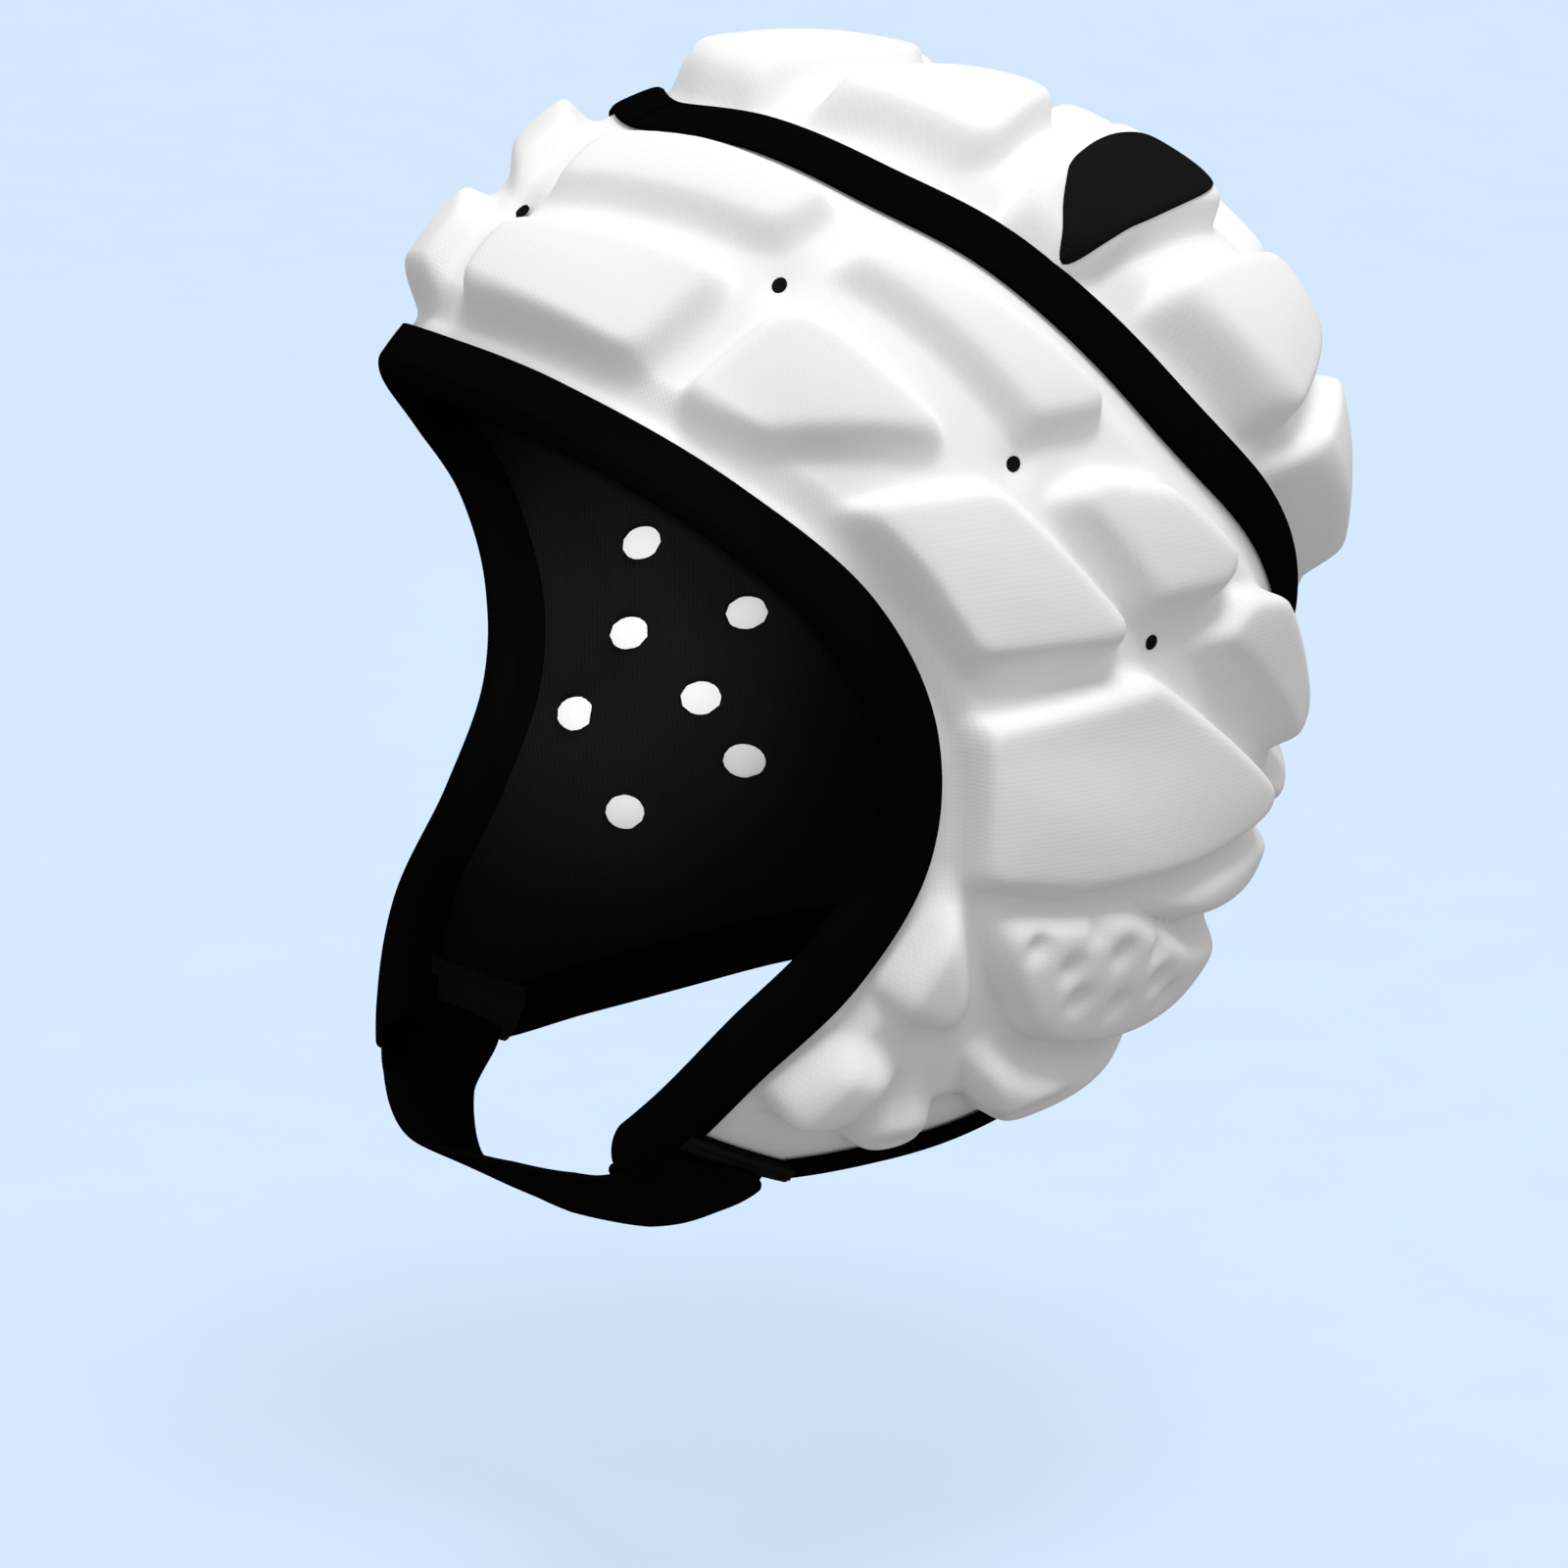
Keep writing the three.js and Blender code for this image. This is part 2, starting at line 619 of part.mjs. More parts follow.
// Thin patch that lies on the flat top of one crown block.
function crownPatch() {
  const patched = CROWN_PADS.find(({ name }) => name === PATCHED_PAD);
  const shape = padOutline(padCorners(patched, 1));
  const middle = shape.map.raise(shape.centre);
  const topRings = PAD_RINGS.slice(-2);
  const inset = topRings[0].inset + PATCH_MARGIN;
  const sheet = (raise) => topRings.map((row) => padRing(shape, { ...row, lift: row.lift + raise, inset }));
  const over = sheet(GAP + PATCH_WALL).reverse();
  const under = sheet(GAP);
  over[0].tip = surfacePoint(middle, PAD_RISE + GAP + PATCH_WALL);
  under[1].tip = surfacePoint(middle, PAD_RISE + GAP);
  return ringSolid([...over, ...under]);
}

// Tapes

const FOLD_INSIDE = 1.3; // room between the lining and the tape's inner leaf
const FOLD_ROUNDING = 0.6;
const FOLD_SPARE = 0.1; // the fold itself is this much thicker than the tape

// Section of a tape folded over a free edge: distance in from the edge, and lift.
function foldedSection(width) {
  const outer = TAPE_GAP + TAPE_WALL;
  const innerTop = LINING_BOTTOM - FOLD_INSIDE;
  const innerLow = innerTop - TAPE_WALL;
  const spine = TAPE_WALL + FOLD_SPARE;
  return [
    [width, TAPE_GAP],
    [width, outer],
    [FOLD_ROUNDING, outer],
    [0, outer - 2 * FOLD_ROUNDING],
    [0, innerLow + 2 * FOLD_ROUNDING],
    [FOLD_ROUNDING, innerLow],
    [width, innerLow],
    [width, innerTop],
    [spine, innerTop],
    [spine, TAPE_GAP],
  ];
}

function tapeAlong(line, across, section, closed = false) {
  const rings = line.map((direction, k) =>
    section.map(([inward, lift]) => surfacePoint(stepAlong(direction, across[k], inward), lift)),
  );
  const flat = section.map(([inward, lift]) => new THREE.Vector2(inward, lift));
  const cap = THREE.ShapeUtils.triangulateShape(flat, []);
  const along = THREE.ShapeUtils.isClockWise(flat) ? cap.map(([a, b, c]) => [a, c, b]) : cap;
  return ringSolid(rings, { closed, cap: along });
}

// Tape folded over an edge that crosses the middle plane, along the given first part of its left half.
function edgeBinding(rows, steps, part, width, inside) {
  const half = halfLine(rows, steps, part);
  const line = [...half.slice(1).reverse().map(mirrored), ...half];
  const across = acrossTangents(line, false);
  const sign = Math.sign(across[steps].dot(inside));
  return tapeAlong(line, across.map((t) => t.multiplyScalar(sign)), foldedSection(width));
}

const arcLength = (a, b) => a.angleTo(b) * reach(a);
const TAPE_END_GAP = 1; // between the ends of two tapes that meet at a cheek's corner
const HEM_END = 0.97; // the hem stops at this share of the cheek's end

function faceBinding() {
  return edgeBinding(FACE_EDGE, FACE_TAPE_STEPS, 1, FACE_TAPE, bandRows[0]);
}

function neckBinding() {
  const edge = arcLength(neckHalf[0], neckHalf[1]) * NECK_STEPS;
  const part = 1 - (HEM_TAPE + TAPE_END_GAP) / edge;
  return edgeBinding([...NECK_EDGE].reverse(), NECK_TAPE_STEPS, part, NECK_TAPE, bandRows.at(-1));
}

function cheekHem(side) {
  const length = arcLength(cheekTip, cheekCorner);
  const start = (FACE_TAPE + TAPE_END_GAP) / length;
  const left = [0, 0.5, 1].map((t) => between(cheekTip, cheekCorner, start + (HEM_END - start) * t));
  const line = side > 0 ? left : left.map(mirrored);
  const across = acrossTangents(line, false);
  const sign = Math.sign(across[1].dot(UP));
  return tapeAlong(line, across.map((t) => t.multiplyScalar(sign)), foldedSection(HEM_TAPE));
}

function crownBand() {
  const half = BAND_WIDTH / 2;
  const section = [
    [-half, TAPE_GAP],
    [-half, TAPE_GAP + TAPE_WALL],
    [half, TAPE_GAP + TAPE_WALL],
    [half, TAPE_GAP],
  ];
  const line = rangeOf(BAND_STEPS, (k) => bandCurve.getPointAt(k / BAND_STEPS).normalize());
  return tapeAlong(line, acrossTangents(line, true), section, true);
}

// Strap and tab

const STRAP_STEPS = 20;
const TAB_STEPS = 7;
const END_ROUNDING = 7; // length over which the free end narrows to its rounded tip
const END_NARROWING = 0.9; // share of that length which is taken off each side at the tip

// Flat webbing along a line of sections. Its free end narrows in a quarter circle on each side.
function webbing(rows, steps) {
  const middles = rows.map(({ x, y, z }) => new THREE.Vector3(x, y, z));
  const curve = new THREE.CatmullRomCurve3(middles, false, "centripetal");
  const widths = new THREE.CatmullRomCurve3(rows.map(({ width }, k) => new THREE.Vector3(k, width, 0)));
  const length = curve.getLength();
  const rings = rangeOf(steps + 1, (k) => {
    const u = k / steps;
    const t = curve.getUtoTmapping(u);
    const run = curve.getTangent(t);
    const normal = run.clone().cross(STRAP_LEVEL).normalize();
    const level = normal.clone().cross(run).normalize();
    const left = (1 - u) * length;
    const bend = Math.max(0, 1 - left / END_ROUNDING);
    const round = END_ROUNDING * (1 - Math.sqrt(1 - bend * bend));
    const half = widths.getPoint(t).y / 2 - END_NARROWING * round;
    const at = curve.getPoint(t).add(HEAD_MIDDLE);
    return [[-half, 0], [half, 0], [half, STRAP_WALL], [-half, STRAP_WALL]].map(([w, n]) =>
      at.clone().addScaledVector(level, w).addScaledVector(normal, n - STRAP_WALL / 2),
    );
  });
  return ringSolid(rings, { cap: [[0, 1, 2], [0, 2, 3]] });
}

function piece(name, geometry, material) {
  geometry.computeVertexNormals();
  const mesh = new THREE.Mesh(geometry, material);
  mesh.name = name;
  return mesh;
}

const helmet = new THREE.Group();
helmet.name = "padded_sports_helmet";
helmet.add(
  piece("wrap_panel", wrapPanel(), FABRIC_WHITE),
  piece("crown_panel", crownPanel(), FABRIC_WHITE),
  piece("lining", lining(), LINING_BLACK),
  piece("crown_band", crownBand(), TAPE_BLACK),
  piece("crown_patch", crownPatch(), LINING_BLACK),
  piece("face_binding", faceBinding(), TAPE_BLACK),
  piece("neck_binding", neckBinding(), TAPE_BLACK),
  piece("cheek_hem_left", cheekHem(1), HEM_GREY),
  piece("cheek_hem_right", cheekHem(-1), HEM_GREY),
  piece("chin_strap", webbing(STRAP_LINE, STRAP_STEPS), TAPE_BLACK),
  piece("strap_tab", webbing(TAB_LINE, TAB_STEPS), TAPE_BLACK),
);

export default helmet;
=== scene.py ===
"""Padded sports helmet: moulded foam blocks under white stretch cloth, black tapes, lining and chin strap.

The head form, its lines and its blocks repeat the part's own named sizes, in millimetres from the middle
of the head. Each piece is an array surface that is laid on that form.
"""
from functools import partial

import bpy
import numpy as np
from mathutils import Matrix, Vector


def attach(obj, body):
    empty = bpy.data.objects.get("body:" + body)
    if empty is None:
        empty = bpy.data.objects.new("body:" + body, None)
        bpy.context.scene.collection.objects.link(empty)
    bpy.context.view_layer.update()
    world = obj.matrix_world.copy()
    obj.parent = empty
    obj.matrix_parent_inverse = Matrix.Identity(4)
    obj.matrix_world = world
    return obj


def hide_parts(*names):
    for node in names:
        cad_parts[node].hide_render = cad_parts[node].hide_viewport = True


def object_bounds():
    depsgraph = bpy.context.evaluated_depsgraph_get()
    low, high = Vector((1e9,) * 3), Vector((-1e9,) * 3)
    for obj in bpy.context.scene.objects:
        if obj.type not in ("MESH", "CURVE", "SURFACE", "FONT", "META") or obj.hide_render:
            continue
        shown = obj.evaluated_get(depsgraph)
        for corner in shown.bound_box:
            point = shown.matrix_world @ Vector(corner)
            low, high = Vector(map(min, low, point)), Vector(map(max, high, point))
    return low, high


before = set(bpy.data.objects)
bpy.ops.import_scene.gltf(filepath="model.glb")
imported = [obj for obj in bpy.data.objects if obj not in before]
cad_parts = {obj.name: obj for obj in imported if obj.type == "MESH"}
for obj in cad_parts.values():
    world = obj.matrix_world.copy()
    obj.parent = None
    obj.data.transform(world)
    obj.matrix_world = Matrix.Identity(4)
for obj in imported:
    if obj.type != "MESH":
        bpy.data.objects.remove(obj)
CAD_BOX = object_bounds()

bl_info = {
    "name": "Padded sports helmet",
    "version": (1, 0, 0),
    "blender": (4, 5, 0),
    "location": "View3D > Sidebar > Helmet",
    "description": "Builds a soft padded head guard with its tapes, lining and chin strap",
    "category": "Object",
}

MM = 0.001

# Side view of the channel floor: angle (0 back, 90 up, 180 front), radius, power of the section to the ear
SIDE_PROFILE = np.array([
    (0, 112, 2.1), (30, 124.5, 2.5), (60, 118, 2.7), (90, 110.5, 2.3), (115, 98.5, 1.75), (135, 90.5, 1.75),
    (160, 100, 1.85), (190, 109, 2.1), (225, 111, 2.1), (250, 111, 2.1), (275, 109, 2.2), (300, 100, 2.35),
    (330, 101, 2.3),
])

# Lines on the left half, in degrees aft and up from straight left; 90 degrees away is the middle plane
FACE_EDGE = [
    (-65, 62.2), (-47, 48.5), (-27, 32), (-13, 17), (-6.5, 2), (-7, -11), (-14, -24), (-24, -35.5),
    (-31, -47),
]
FACE_TAPE_END = (-33.5, -51.5)
NECK_EDGE = [(-12, -55.5), (2, -54), (17, -52.5), (32, -51), (48, -50.5), (72.6, -53.2)]
BAND_LINE = [
    (-10.5, 89.4), (-3.5, 77.5), (5, 65), (14.5, 55.5), (24.5, 44.5), (36, 32), (50, 19.5), (66, 5),
    (79, -4.5), (89.7, -7.5),
]
# Share of the way from brow to nape, then the place that the cloth's grid lines bend towards
WRAP_GUIDE = [
    (0, -38, 81.6), (0.22, -7, 45), (0.36, 11, 21), (0.45, 15, 0), (0.56, 14, -32), (0.67, 23, -30),
    (0.83, 46, -18), (1, 86, -26.5),
]

# Foam blocks by their corners; a middle block gives its left half, from the middle plane and back to it
WRAP_PADS = {
    "brow_upper": [
        (-21, 85), (-10, 75.3), (-1.8, 63.5), (-1.3, 61.5), (-9.3, 59.8), (-12.5, 61.3), (-34.5, 80),
    ],
    "brow_lower": [
        (-39.8, 77.8), (-33, 74.5), (-15.3, 59.5), (-17.4, 57), (-30.7, 51.5), (-35, 53.8), (-50.5, 66.5),
        (-52.5, 70),
    ],
    "temple_upper": [(-6.5, 56), (-1, 57.5), (10, 50), (22.5, 37.3), (22, 33.8), (11.5, 34.3)],
    "temple_lower": [(-28, 48.5), (-13, 54.3), (-8, 52), (3, 37), (1.5, 34), (-19, 39.3), (-26.5, 44.5)],
    "side_upper": [(13, 28.5), (19, 30.5), (29, 28), (40.5, 18), (37.5, 13.2), (26, 13.5)],
    "side_lower": [(-12, 32), (7, 31.5), (25, 13.5), (23.5, 9.5), (2.5, 10.5)],
    "rear_upper": [(34.5, 9.2), (41, 14.5), (50, 13), (61, 4.5), (72, -6), (66, -10), (59.5, -9.3)],
    "rear_lower": [(2.5, 5.5), (28, 8), (57, -12), (55.5, -16.5), (37, -18.5), (18, -18.5), (3, -16)],
    "rear_strip": [
        (29, -20), (43, -18.3), (57, -17.3), (62, -19.5), (62.5, -23.5), (57, -28), (40, -26.5),
        (31, -23.5),
    ],
    "ear": [
        (5.3, -17.6), (8, -27), (12.5, -34.6), (17.5, -37.4), (25, -39.2), (34, -40.2), (46, -40.5),
        (55.5, -34), (55, -31), (42, -28), (33, -23.6), (27.5, -19.8), (18, -19.4),
    ],
    "cheek_front": [(0.4, -17.3), (3.7, -17.6), (6.2, -30.5), (5.2, -34.6), (3.2, -34.6), (-8.6, -28.8)],
    "cheek_lower": [(-11, -33.3), (-1.6, -36.2), (-1.3, -38.8), (-8.4, -45), (-15.6, -44.6), (-20.3, -41)],
    "cheek_end": [(1, -38.6), (5.8, -46), (5.5, -48.6), (-4.4, -50.4), (-9, -46.4)],
    "cheek_back": [
        (6.3, -36.5), (9.6, -35.2), (15, -38.2), (30, -42), (46, -42.8), (46, -46.4), (34, -48.3),
        (21, -48.7), (13, -48.5), (8.5, -43.5),
    ],
    "nape_side": [(49, -45), (54.5, -41), (60, -33.5), (62.5, -43), (57, -45.8)],
}
WRAP_MIDDLE_PADS = {
    "back_upper": [(88.6, -15.6), (78, -11.5), (62, -14.2), (62.5, -17.5), (72, -23.5), (84.8, -30)],
    "nape": [(82.7, -35.5), (67, -29.5), (66, -42), (77.2, -46.2)],
}
# Softer, lower blocks round the ear and the cheek: height and bevel in millimetres
LOW_PADS = {
    "rear_strip": (6.2, 3.4), "ear": (6.2, 3), "cheek_front": (6, 3), "cheek_lower": (6.2, 3),
    "cheek_end": (6.6, 3), "cheek_back": (8.2, 3), "nape_side": (6.4, 3),
}
CROWN_PADS = {
    "crown_front": [(2.5, 76.5), (14.8, 63.3), (19, 62), (36, 67.5), (41, 73), (28.5, 76), (9, 78)],
    "crown_side": [(17, 57.5), (21.3, 50.6), (26, 48.7), (50, 50.5), (57, 56), (43, 66), (34, 63)],
    "crown_rear": [(30, 44.5), (34, 46.5), (54, 47), (60, 44), (62.5, 36), (48, 28.5), (43.5, 30.5)],
    "crown_low": [(47, 26), (51, 27.5), (63, 33.5), (71, 28), (74, 13.5), (68, 10)],
}
CROWN_MIDDLE_PADS = {
    "crown_top": [(-4.5, 89.9), (-1.5, 81), (12, 81), (25, 79.5), (34, 83.3)],
    "crown_middle": [(51, 74.2), (50.5, 70.3), (58, 61), (62, 53), (65, 44), (77.9, 45)],
    "crown_back": [(80, 41.2), (71.5, 37.5), (76, 27), (80, 11), (89.7, 7)],
}
PATCH_EDGE = [
    (22.1, 50.9), (21.9, 54.4), (23.7, 57.6), (28.5, 59.7), (37, 61), (46, 60.3), (50.2, 57.2),
    (48.7, 54.1), (38, 51.9),
]
WRAP_VENTS = [(-36.8, 82.1), (-10.8, 57.3), (11.3, 33), (30.5, 10.5), (0.5, -35)]
EAR_HOLES = [(17, 7), (32, -4), (15, -6), (25, -16), (6, -17), (30, -25), (12, -31)]
# Ear holes are a little wider than high
HOLE_SHAPE = np.array([1.0, 0.78])
EAR_BUTTONS = [
    (12.5, -22.8), (17.5, -26), (21.5, -22), (25.5, -25.6), (19.5, -30.2), (26.5, -32.3), (33.5, -31),
    (37, -34), (32.5, -26.8),
]

# Chin strap and tab: the middle of each section from the middle of the head, and its width
STRAP_LINE = np.array([
    (-54.4, -30.5, -73, 26), (-54.6, -32.5, -79, 26), (-53.5, -35.5, -88, 21), (-42, -38, -97.5, 19),
    (-20, -34, -99.5, 20), (0, -30, -98.5, 20), (20, -29, -94.5, 20), (38, -30, -88, 21),
    (50, -31.5, -83, 22), (60, -33.6, -77.8, 22),
])
TAB_LINE = np.array([
    (54.6, -30.8, -74, 25), (53.6, -32.3, -78.4, 25), (48, -31.5, -80.9, 20), (36, -30, -86, 18),
    (22, -29, -91.4, 17),
])
# Way across the webbing at the cheeks and in the middle, under the chin
STRAP_LEVEL = np.array([[0, 0.92, -0.39], [0, 0.8, -0.6]])

# Thicknesses and clearances shared with the part
PANEL_WALL = 4.0
GAP = 0.3
TAPE_GAP = 0.6
EDGE_INSET = 3.0
CORNER_INSET = 4.4
SEAM_INSET = 0.2
FOLD_INSIDE = 1.3
BAND_AT_CHEEK = (0.42, 0.5)
FACE_STEPS, HEM_STEPS, NECK_STEPS = 10, 2, 6

# Radius of the form in millimetres, for small hollows beside the ear and for lengths over the whole
SIDE_RADIUS, FORM_RADIUS = 90.0, 95.0
# Depth and spread of the ear's dimples and of the vents' hollows
BUTTON_DIP = (1.7, 2.2)
VENT_DIP = (1.3, 3.6)
# Rings of a vent's dark cup from its middle: share of the radius, height over the hollow
VENT_CUP = np.array([(0, 0.2), (0.35, 0.2), (0.7, 0.22), (0.9, 0.25), (1, 0.22), (1.12, -0.4)])
# Dimples and unevenness are full on blocks of this height
PUCKER_HEIGHT = 4.6
WAVE_LENGTH = 17.0
# A block's side: softness of its foot, share of its round edge; its top domes by a rise over a reach
SOFT_FOOT, ROUND_EDGE = 0.45, 0.2
DOME_RISE, DOME_REACH = 0.7, 24.0
# A small block is lower: share of the full height at no depth, its gain for each millimetre, the least share
SMALL_BLOCK = (0.3, 0.075, 0.6)
BEVEL_SHARE = 0.62
LOW_PAD_SOFTNESS = 1.4
# Channel foam starts this far from the band's middle and from the edge, and rises over a step
FLOOR_CLEAR = (5.5, 9.5)
FLOOR_STEP = 7.0
PATCH_TOP, PATCH_UNDERSIDE = 0.55, 0.1
# Folded tape: longest round nose, swell of a ridge and of a plain leaf
FOLD_REACH = 3.2
RIDGE_SWELL, LEAF_SWELL = 0.45, 0.12
# Hem: ridges, lift over the bindings, tuck under the face tape, share of the cheek's end where it stops
HEM_RIDGES, HEM_OVER, HEM_TUCK, HEM_END = 2, 0.3, 2.0, 1.02
# Webbing: its turn to the chin's level away from the middle plane, powers of its edge, its round end
CHIN_SHARE, CHIN_REACH = 1.3, 38.0
WIDE_POWER, THICK_POWER = 0.35, 0.5
STRAP_ROUNDING = 7.0

# Cloth of each slot: material, colour, weave, spread of tone and of the painted shade in the weave's
# grooves, roughness, specular level; also pitch and depth of the weave in metres
CLOTHS = {
    "padded_cloth": ("white_knit", "cloth", "knit", 0.025, 0.0009, 0.00002, 0.9, 0.1),
    "lining_cloth": ("lining_knit", "lining", "knit", 0.35, 0.0011, 0.00012, 0.94, 0.0),
    "black_tape": ("tape_twill", "tape", "twill", 0.4, 0.0008, 0.0001, 0.94, 0.0),
    "patch_cloth": ("patch_twill", "patch", "twill", 0.3, 0.0006, 0.00008, 0.92, 0.0),
    "hem_cloth": ("hem_twill", "hem", "twill", 0.3, 0.0009, 0.00012, 0.85, 0.03),
    "strap_webbing": ("strap_twill", "webbing", "twill", 0.4, 0.0012, 0.00018, 0.93, 0.0),
}
TONE_SCALE = 55

# Camera: degrees round from the front and up, metres from the middle of the head, place in the image
CAMERA_TURN = (61.7, 12.3)
CAMERA_AWAY = 1.5
IMAGE_PIXELS = 1600
FOCAL_PIXELS = 8070
HEAD_PIXEL = (733, 688)
FLOOR_DROP = 0.066

# Grid density; the blocks' rasters have a cell and a margin in millimetres
RASTER = 0.6
MARGIN = 14.0
FLOOR_STATIONS = 8
STATIONS_PER_STEP = 16
# Rows of the wrap lie closer together towards the free edge
ROW_BIAS = 1.25
WRAP_ROWS = 146
CROWN_ROWS = 96
INNER_ROWS = 18
LINING_STATIONS = 10
LINING_ROWS = (20, 94)


def metres(name, description, default):
    return bpy.props.FloatProperty(name=name, description=description, default=default, unit="LENGTH")


def colour(name, description, default):
    return bpy.props.FloatVectorProperty(
        name=name, description=description, default=default, subtype="COLOR")


class HelmetSizes(bpy.types.PropertyGroup):
    """Sizes of the helmet, in metres."""

    half_width: metres("Half width", "From the head's middle to the channel floor beside the ear", 0.082)
    pad_rise: metres("Block height", "Top of a foam block above the channel floor", 0.0066)
    floor_rise: metres("Channel height", "Foam under the channels, away from the tapes", 0.003)
    bevel: metres("Block bevel", "Width of the sloping side of a foam block", 0.0026)
    corner_softness: metres("Corner softness", "How far the corners of a block are rounded off", 0.0018)
    lining_wall: metres("Lining thickness", "Thickness of the inner cloth", 0.0015)
    tape_wall: metres("Tape thickness", "Thickness of the binding and the band", 0.0012)
    face_tape: metres("Face tape width", "Binding width outside, round the face", 0.0095)
    neck_tape: metres("Neck tape width", "Binding width outside, round the neck", 0.006)
    hem_tape: metres("Hem width", "Width of the folded strip at a cheek's end", 0.0055)
    band_width: metres("Band width", "Width of the tape round the crown", 0.010)
    strap_wall: metres("Strap thickness", "Thickness of strap and tab", 0.002)
    ear_hole: metres("Ear hole", "Width of the holes in the lining", 0.0092)
    vent: metres("Vent", "Diameter of the small vents between blocks", 0.0026)


class HelmetColours(bpy.types.PropertyGroup):
    """Colours of the helmet's cloths, in linear light."""

    cloth: colour("Padded cloth", "White stretch cloth over the foam", (0.86, 0.86, 0.86))
    lining: colour("Lining", "Black inner knit", (0.0075, 0.0075, 0.0077))
    tape: colour("Tape", "Black binding and band", (0.002, 0.002, 0.0021))
    patch: colour("Patch", "Bare black patch on the crown", (0.0085, 0.0085, 0.0087))
    hem: colour("Hem", "Dark grey folded strip", (0.008, 0.008, 0.0083))
    webbing: colour("Webbing", "Black strap and tab", (0.0025, 0.0025, 0.0026))
    backdrop: colour("Backdrop", "Pale floor and backdrop", (0.62, 0.765, 0.93))


def sizes():
    return bpy.context.scene.helmet_sizes


def colours():
    return bpy.context.scene.helmet_colours


# Head form


def hermite(t, start, end, leave, arrive):
    """Cubic from start to end while t runs from 0 to 1, with its slopes at both ends."""
    first = (2 * t**3 - 3 * t**2 + 1) * start + (t**3 - 2 * t**2 + t) * leave
    return first + (3 * t**2 - 2 * t**3) * end + (t**3 - t**2) * arrive


def profile_at(angle, column):
    """Closed cubic Hermite curve through a column of the side profile, slopes from its neighbours."""
    at, value = SIDE_PROFILE[:, 0], SIDE_PROFILE[:, column]
    after = np.append(at[1:], at[0] + 360)
    before = np.append(at[-1] - 360, at[:-1])
    slope = (np.roll(value, -1) - np.roll(value, 1)) / (after - before)
    turn = np.mod(angle, 360)
    i = np.clip(np.searchsorted(at, turn, side="right") - 1, 0, len(at) - 1)
    j = (i + 1) % len(at)
    span = after[i] - at[i]
    return hermite((turn - at[i]) / span, value[i], value[j], span * slope[i], span * slope[j])


def reach(direction, lift):
    """Distance to the floor raised by lift: (|x|/half width)^p + (radial part/profile)^p = 1.

    The power p comes from the profile.
    """
    angle = np.degrees(np.arctan2(direction[..., 2], direction[..., 1]))
    power = profile_at(angle, 2)
    side = np.abs(direction[..., 0]) / (sizes().half_width / MM + lift)
    round_part = np.hypot(direction[..., 1], direction[..., 2]) / (profile_at(angle, 1) + lift)
    return (side**power + round_part**power) ** (-1 / power)


def lining_lifts():
    """Lifts of the lining's outer and inner face."""
    top = -(PANEL_WALL + GAP)
    return top, top - sizes().lining_wall / MM


def head_middle():
    """Middle of the head below the origin, which is the inside of the lining at the crown."""
    up = np.array([[0.0, 0.0, 1.0]])
    return np.array([0.0, 0.0, -reach(up, lining_lifts()[1])[0]])


def surface(direction, lift):
    """Point on the form along a direction, at a lift above the channel floor."""
    return direction * reach(direction, lift)[..., None] + head_middle()


def beside(*parts):
    """Arrays side by side, as the columns of one array."""
    return np.stack(np.broadcast_arrays(*parts), -1)


def unit(vectors):
    return vectors / np.maximum(np.linalg.norm(vectors, axis=-1, keepdims=True), 1e-12)


def to_direction(places):
    """Degrees aft and up from straight left to unit directions, as on an equidistant map."""
    places = np.asarray(places, float)
    away = np.hypot(places[..., 0], places[..., 1])
    spread = np.sin(np.radians(away)) / np.maximum(away, 1e-9)
    return beside(np.cos(np.radians(away)), spread * places[..., 0], spread * places[..., 1])


def mirrored(vectors):
    return vectors * np.array([-1.0, 1.0, 1.0])


def between(a, b, t):
    """Great circle step from a to b by the share t."""
    angle = np.arccos(np.clip((a * b).sum(-1), -1, 1))
    whole = np.maximum(np.sin(angle), 1e-9)
    near = (np.sin((1 - t) * angle) / whole)[..., None] * a
    return unit(near + (np.sin(t * angle) / whole)[..., None] * b)


def step_along(start, tangent, length):
    """Direction reached by an arc length on the floor along a tangent."""
    angle = (length / reach(start, 0.0))[..., None]
    return unit(start * np.cos(angle) + tangent * np.sin(angle))


def running_length(points):
    return np.append(0, np.cumsum(np.linalg.norm(np.diff(points, axis=0), axis=1)))


def curve_at(points, shares, closed=False):
    """Centripetal spline through the points, read at shares of its length."""
    points = np.asarray(points, float)
    if closed:
        p = np.vstack([points[-1:], points, points[:2]])
    else:
        p = np.vstack([2 * points[:1] - points[1:2], points, 2 * points[-1:] - points[-2:-1]])
    p0, p1, p2, p3 = p[:-3], p[1:-2], p[2:-1], p[3:]
    spans = ((p0, p1), (p1, p2), (p2, p3))
    d0, d1, d2 = (np.maximum(np.linalg.norm(b - a, axis=1), 1e-9)[:, None] ** 0.5 for a, b in spans)
    leave = ((p1 - p0) / d0 - (p2 - p0) / (d0 + d1) + (p2 - p1) / d1) * d1
    arrive = ((p2 - p1) / d1 - (p3 - p1) / (d1 + d2) + (p3 - p2) / d2) * d1
    t = np.linspace(0, 1, 60, endpoint=False)[:, None]
    fine = hermite(t, *(x[:, None] for x in (p1, p2, leave, arrive))).reshape(-1, points.shape[1])
    fine = np.vstack([fine, p2[-1:]])
    lengths = running_length(fine)
    at = np.asarray(shares) * lengths[-1]
    return beside(*(np.interp(at, lengths, column) for column in fine.T))


def half_line(rows, shares):
    """Directions on the left half of a line that crosses the middle plane at its first row."""
    left = to_direction(rows)
    whole = np.vstack([mirrored(left[1:])[::-1], left])
    return unit(curve_at(whole, 0.5 + 0.5 * np.asarray(shares)))


def whole_loop(half):
    """Closed loop from its left half, whose first and last rows lie on the middle plane."""
    return np.concatenate([half, mirrored(half[1:-1])[::-1]])


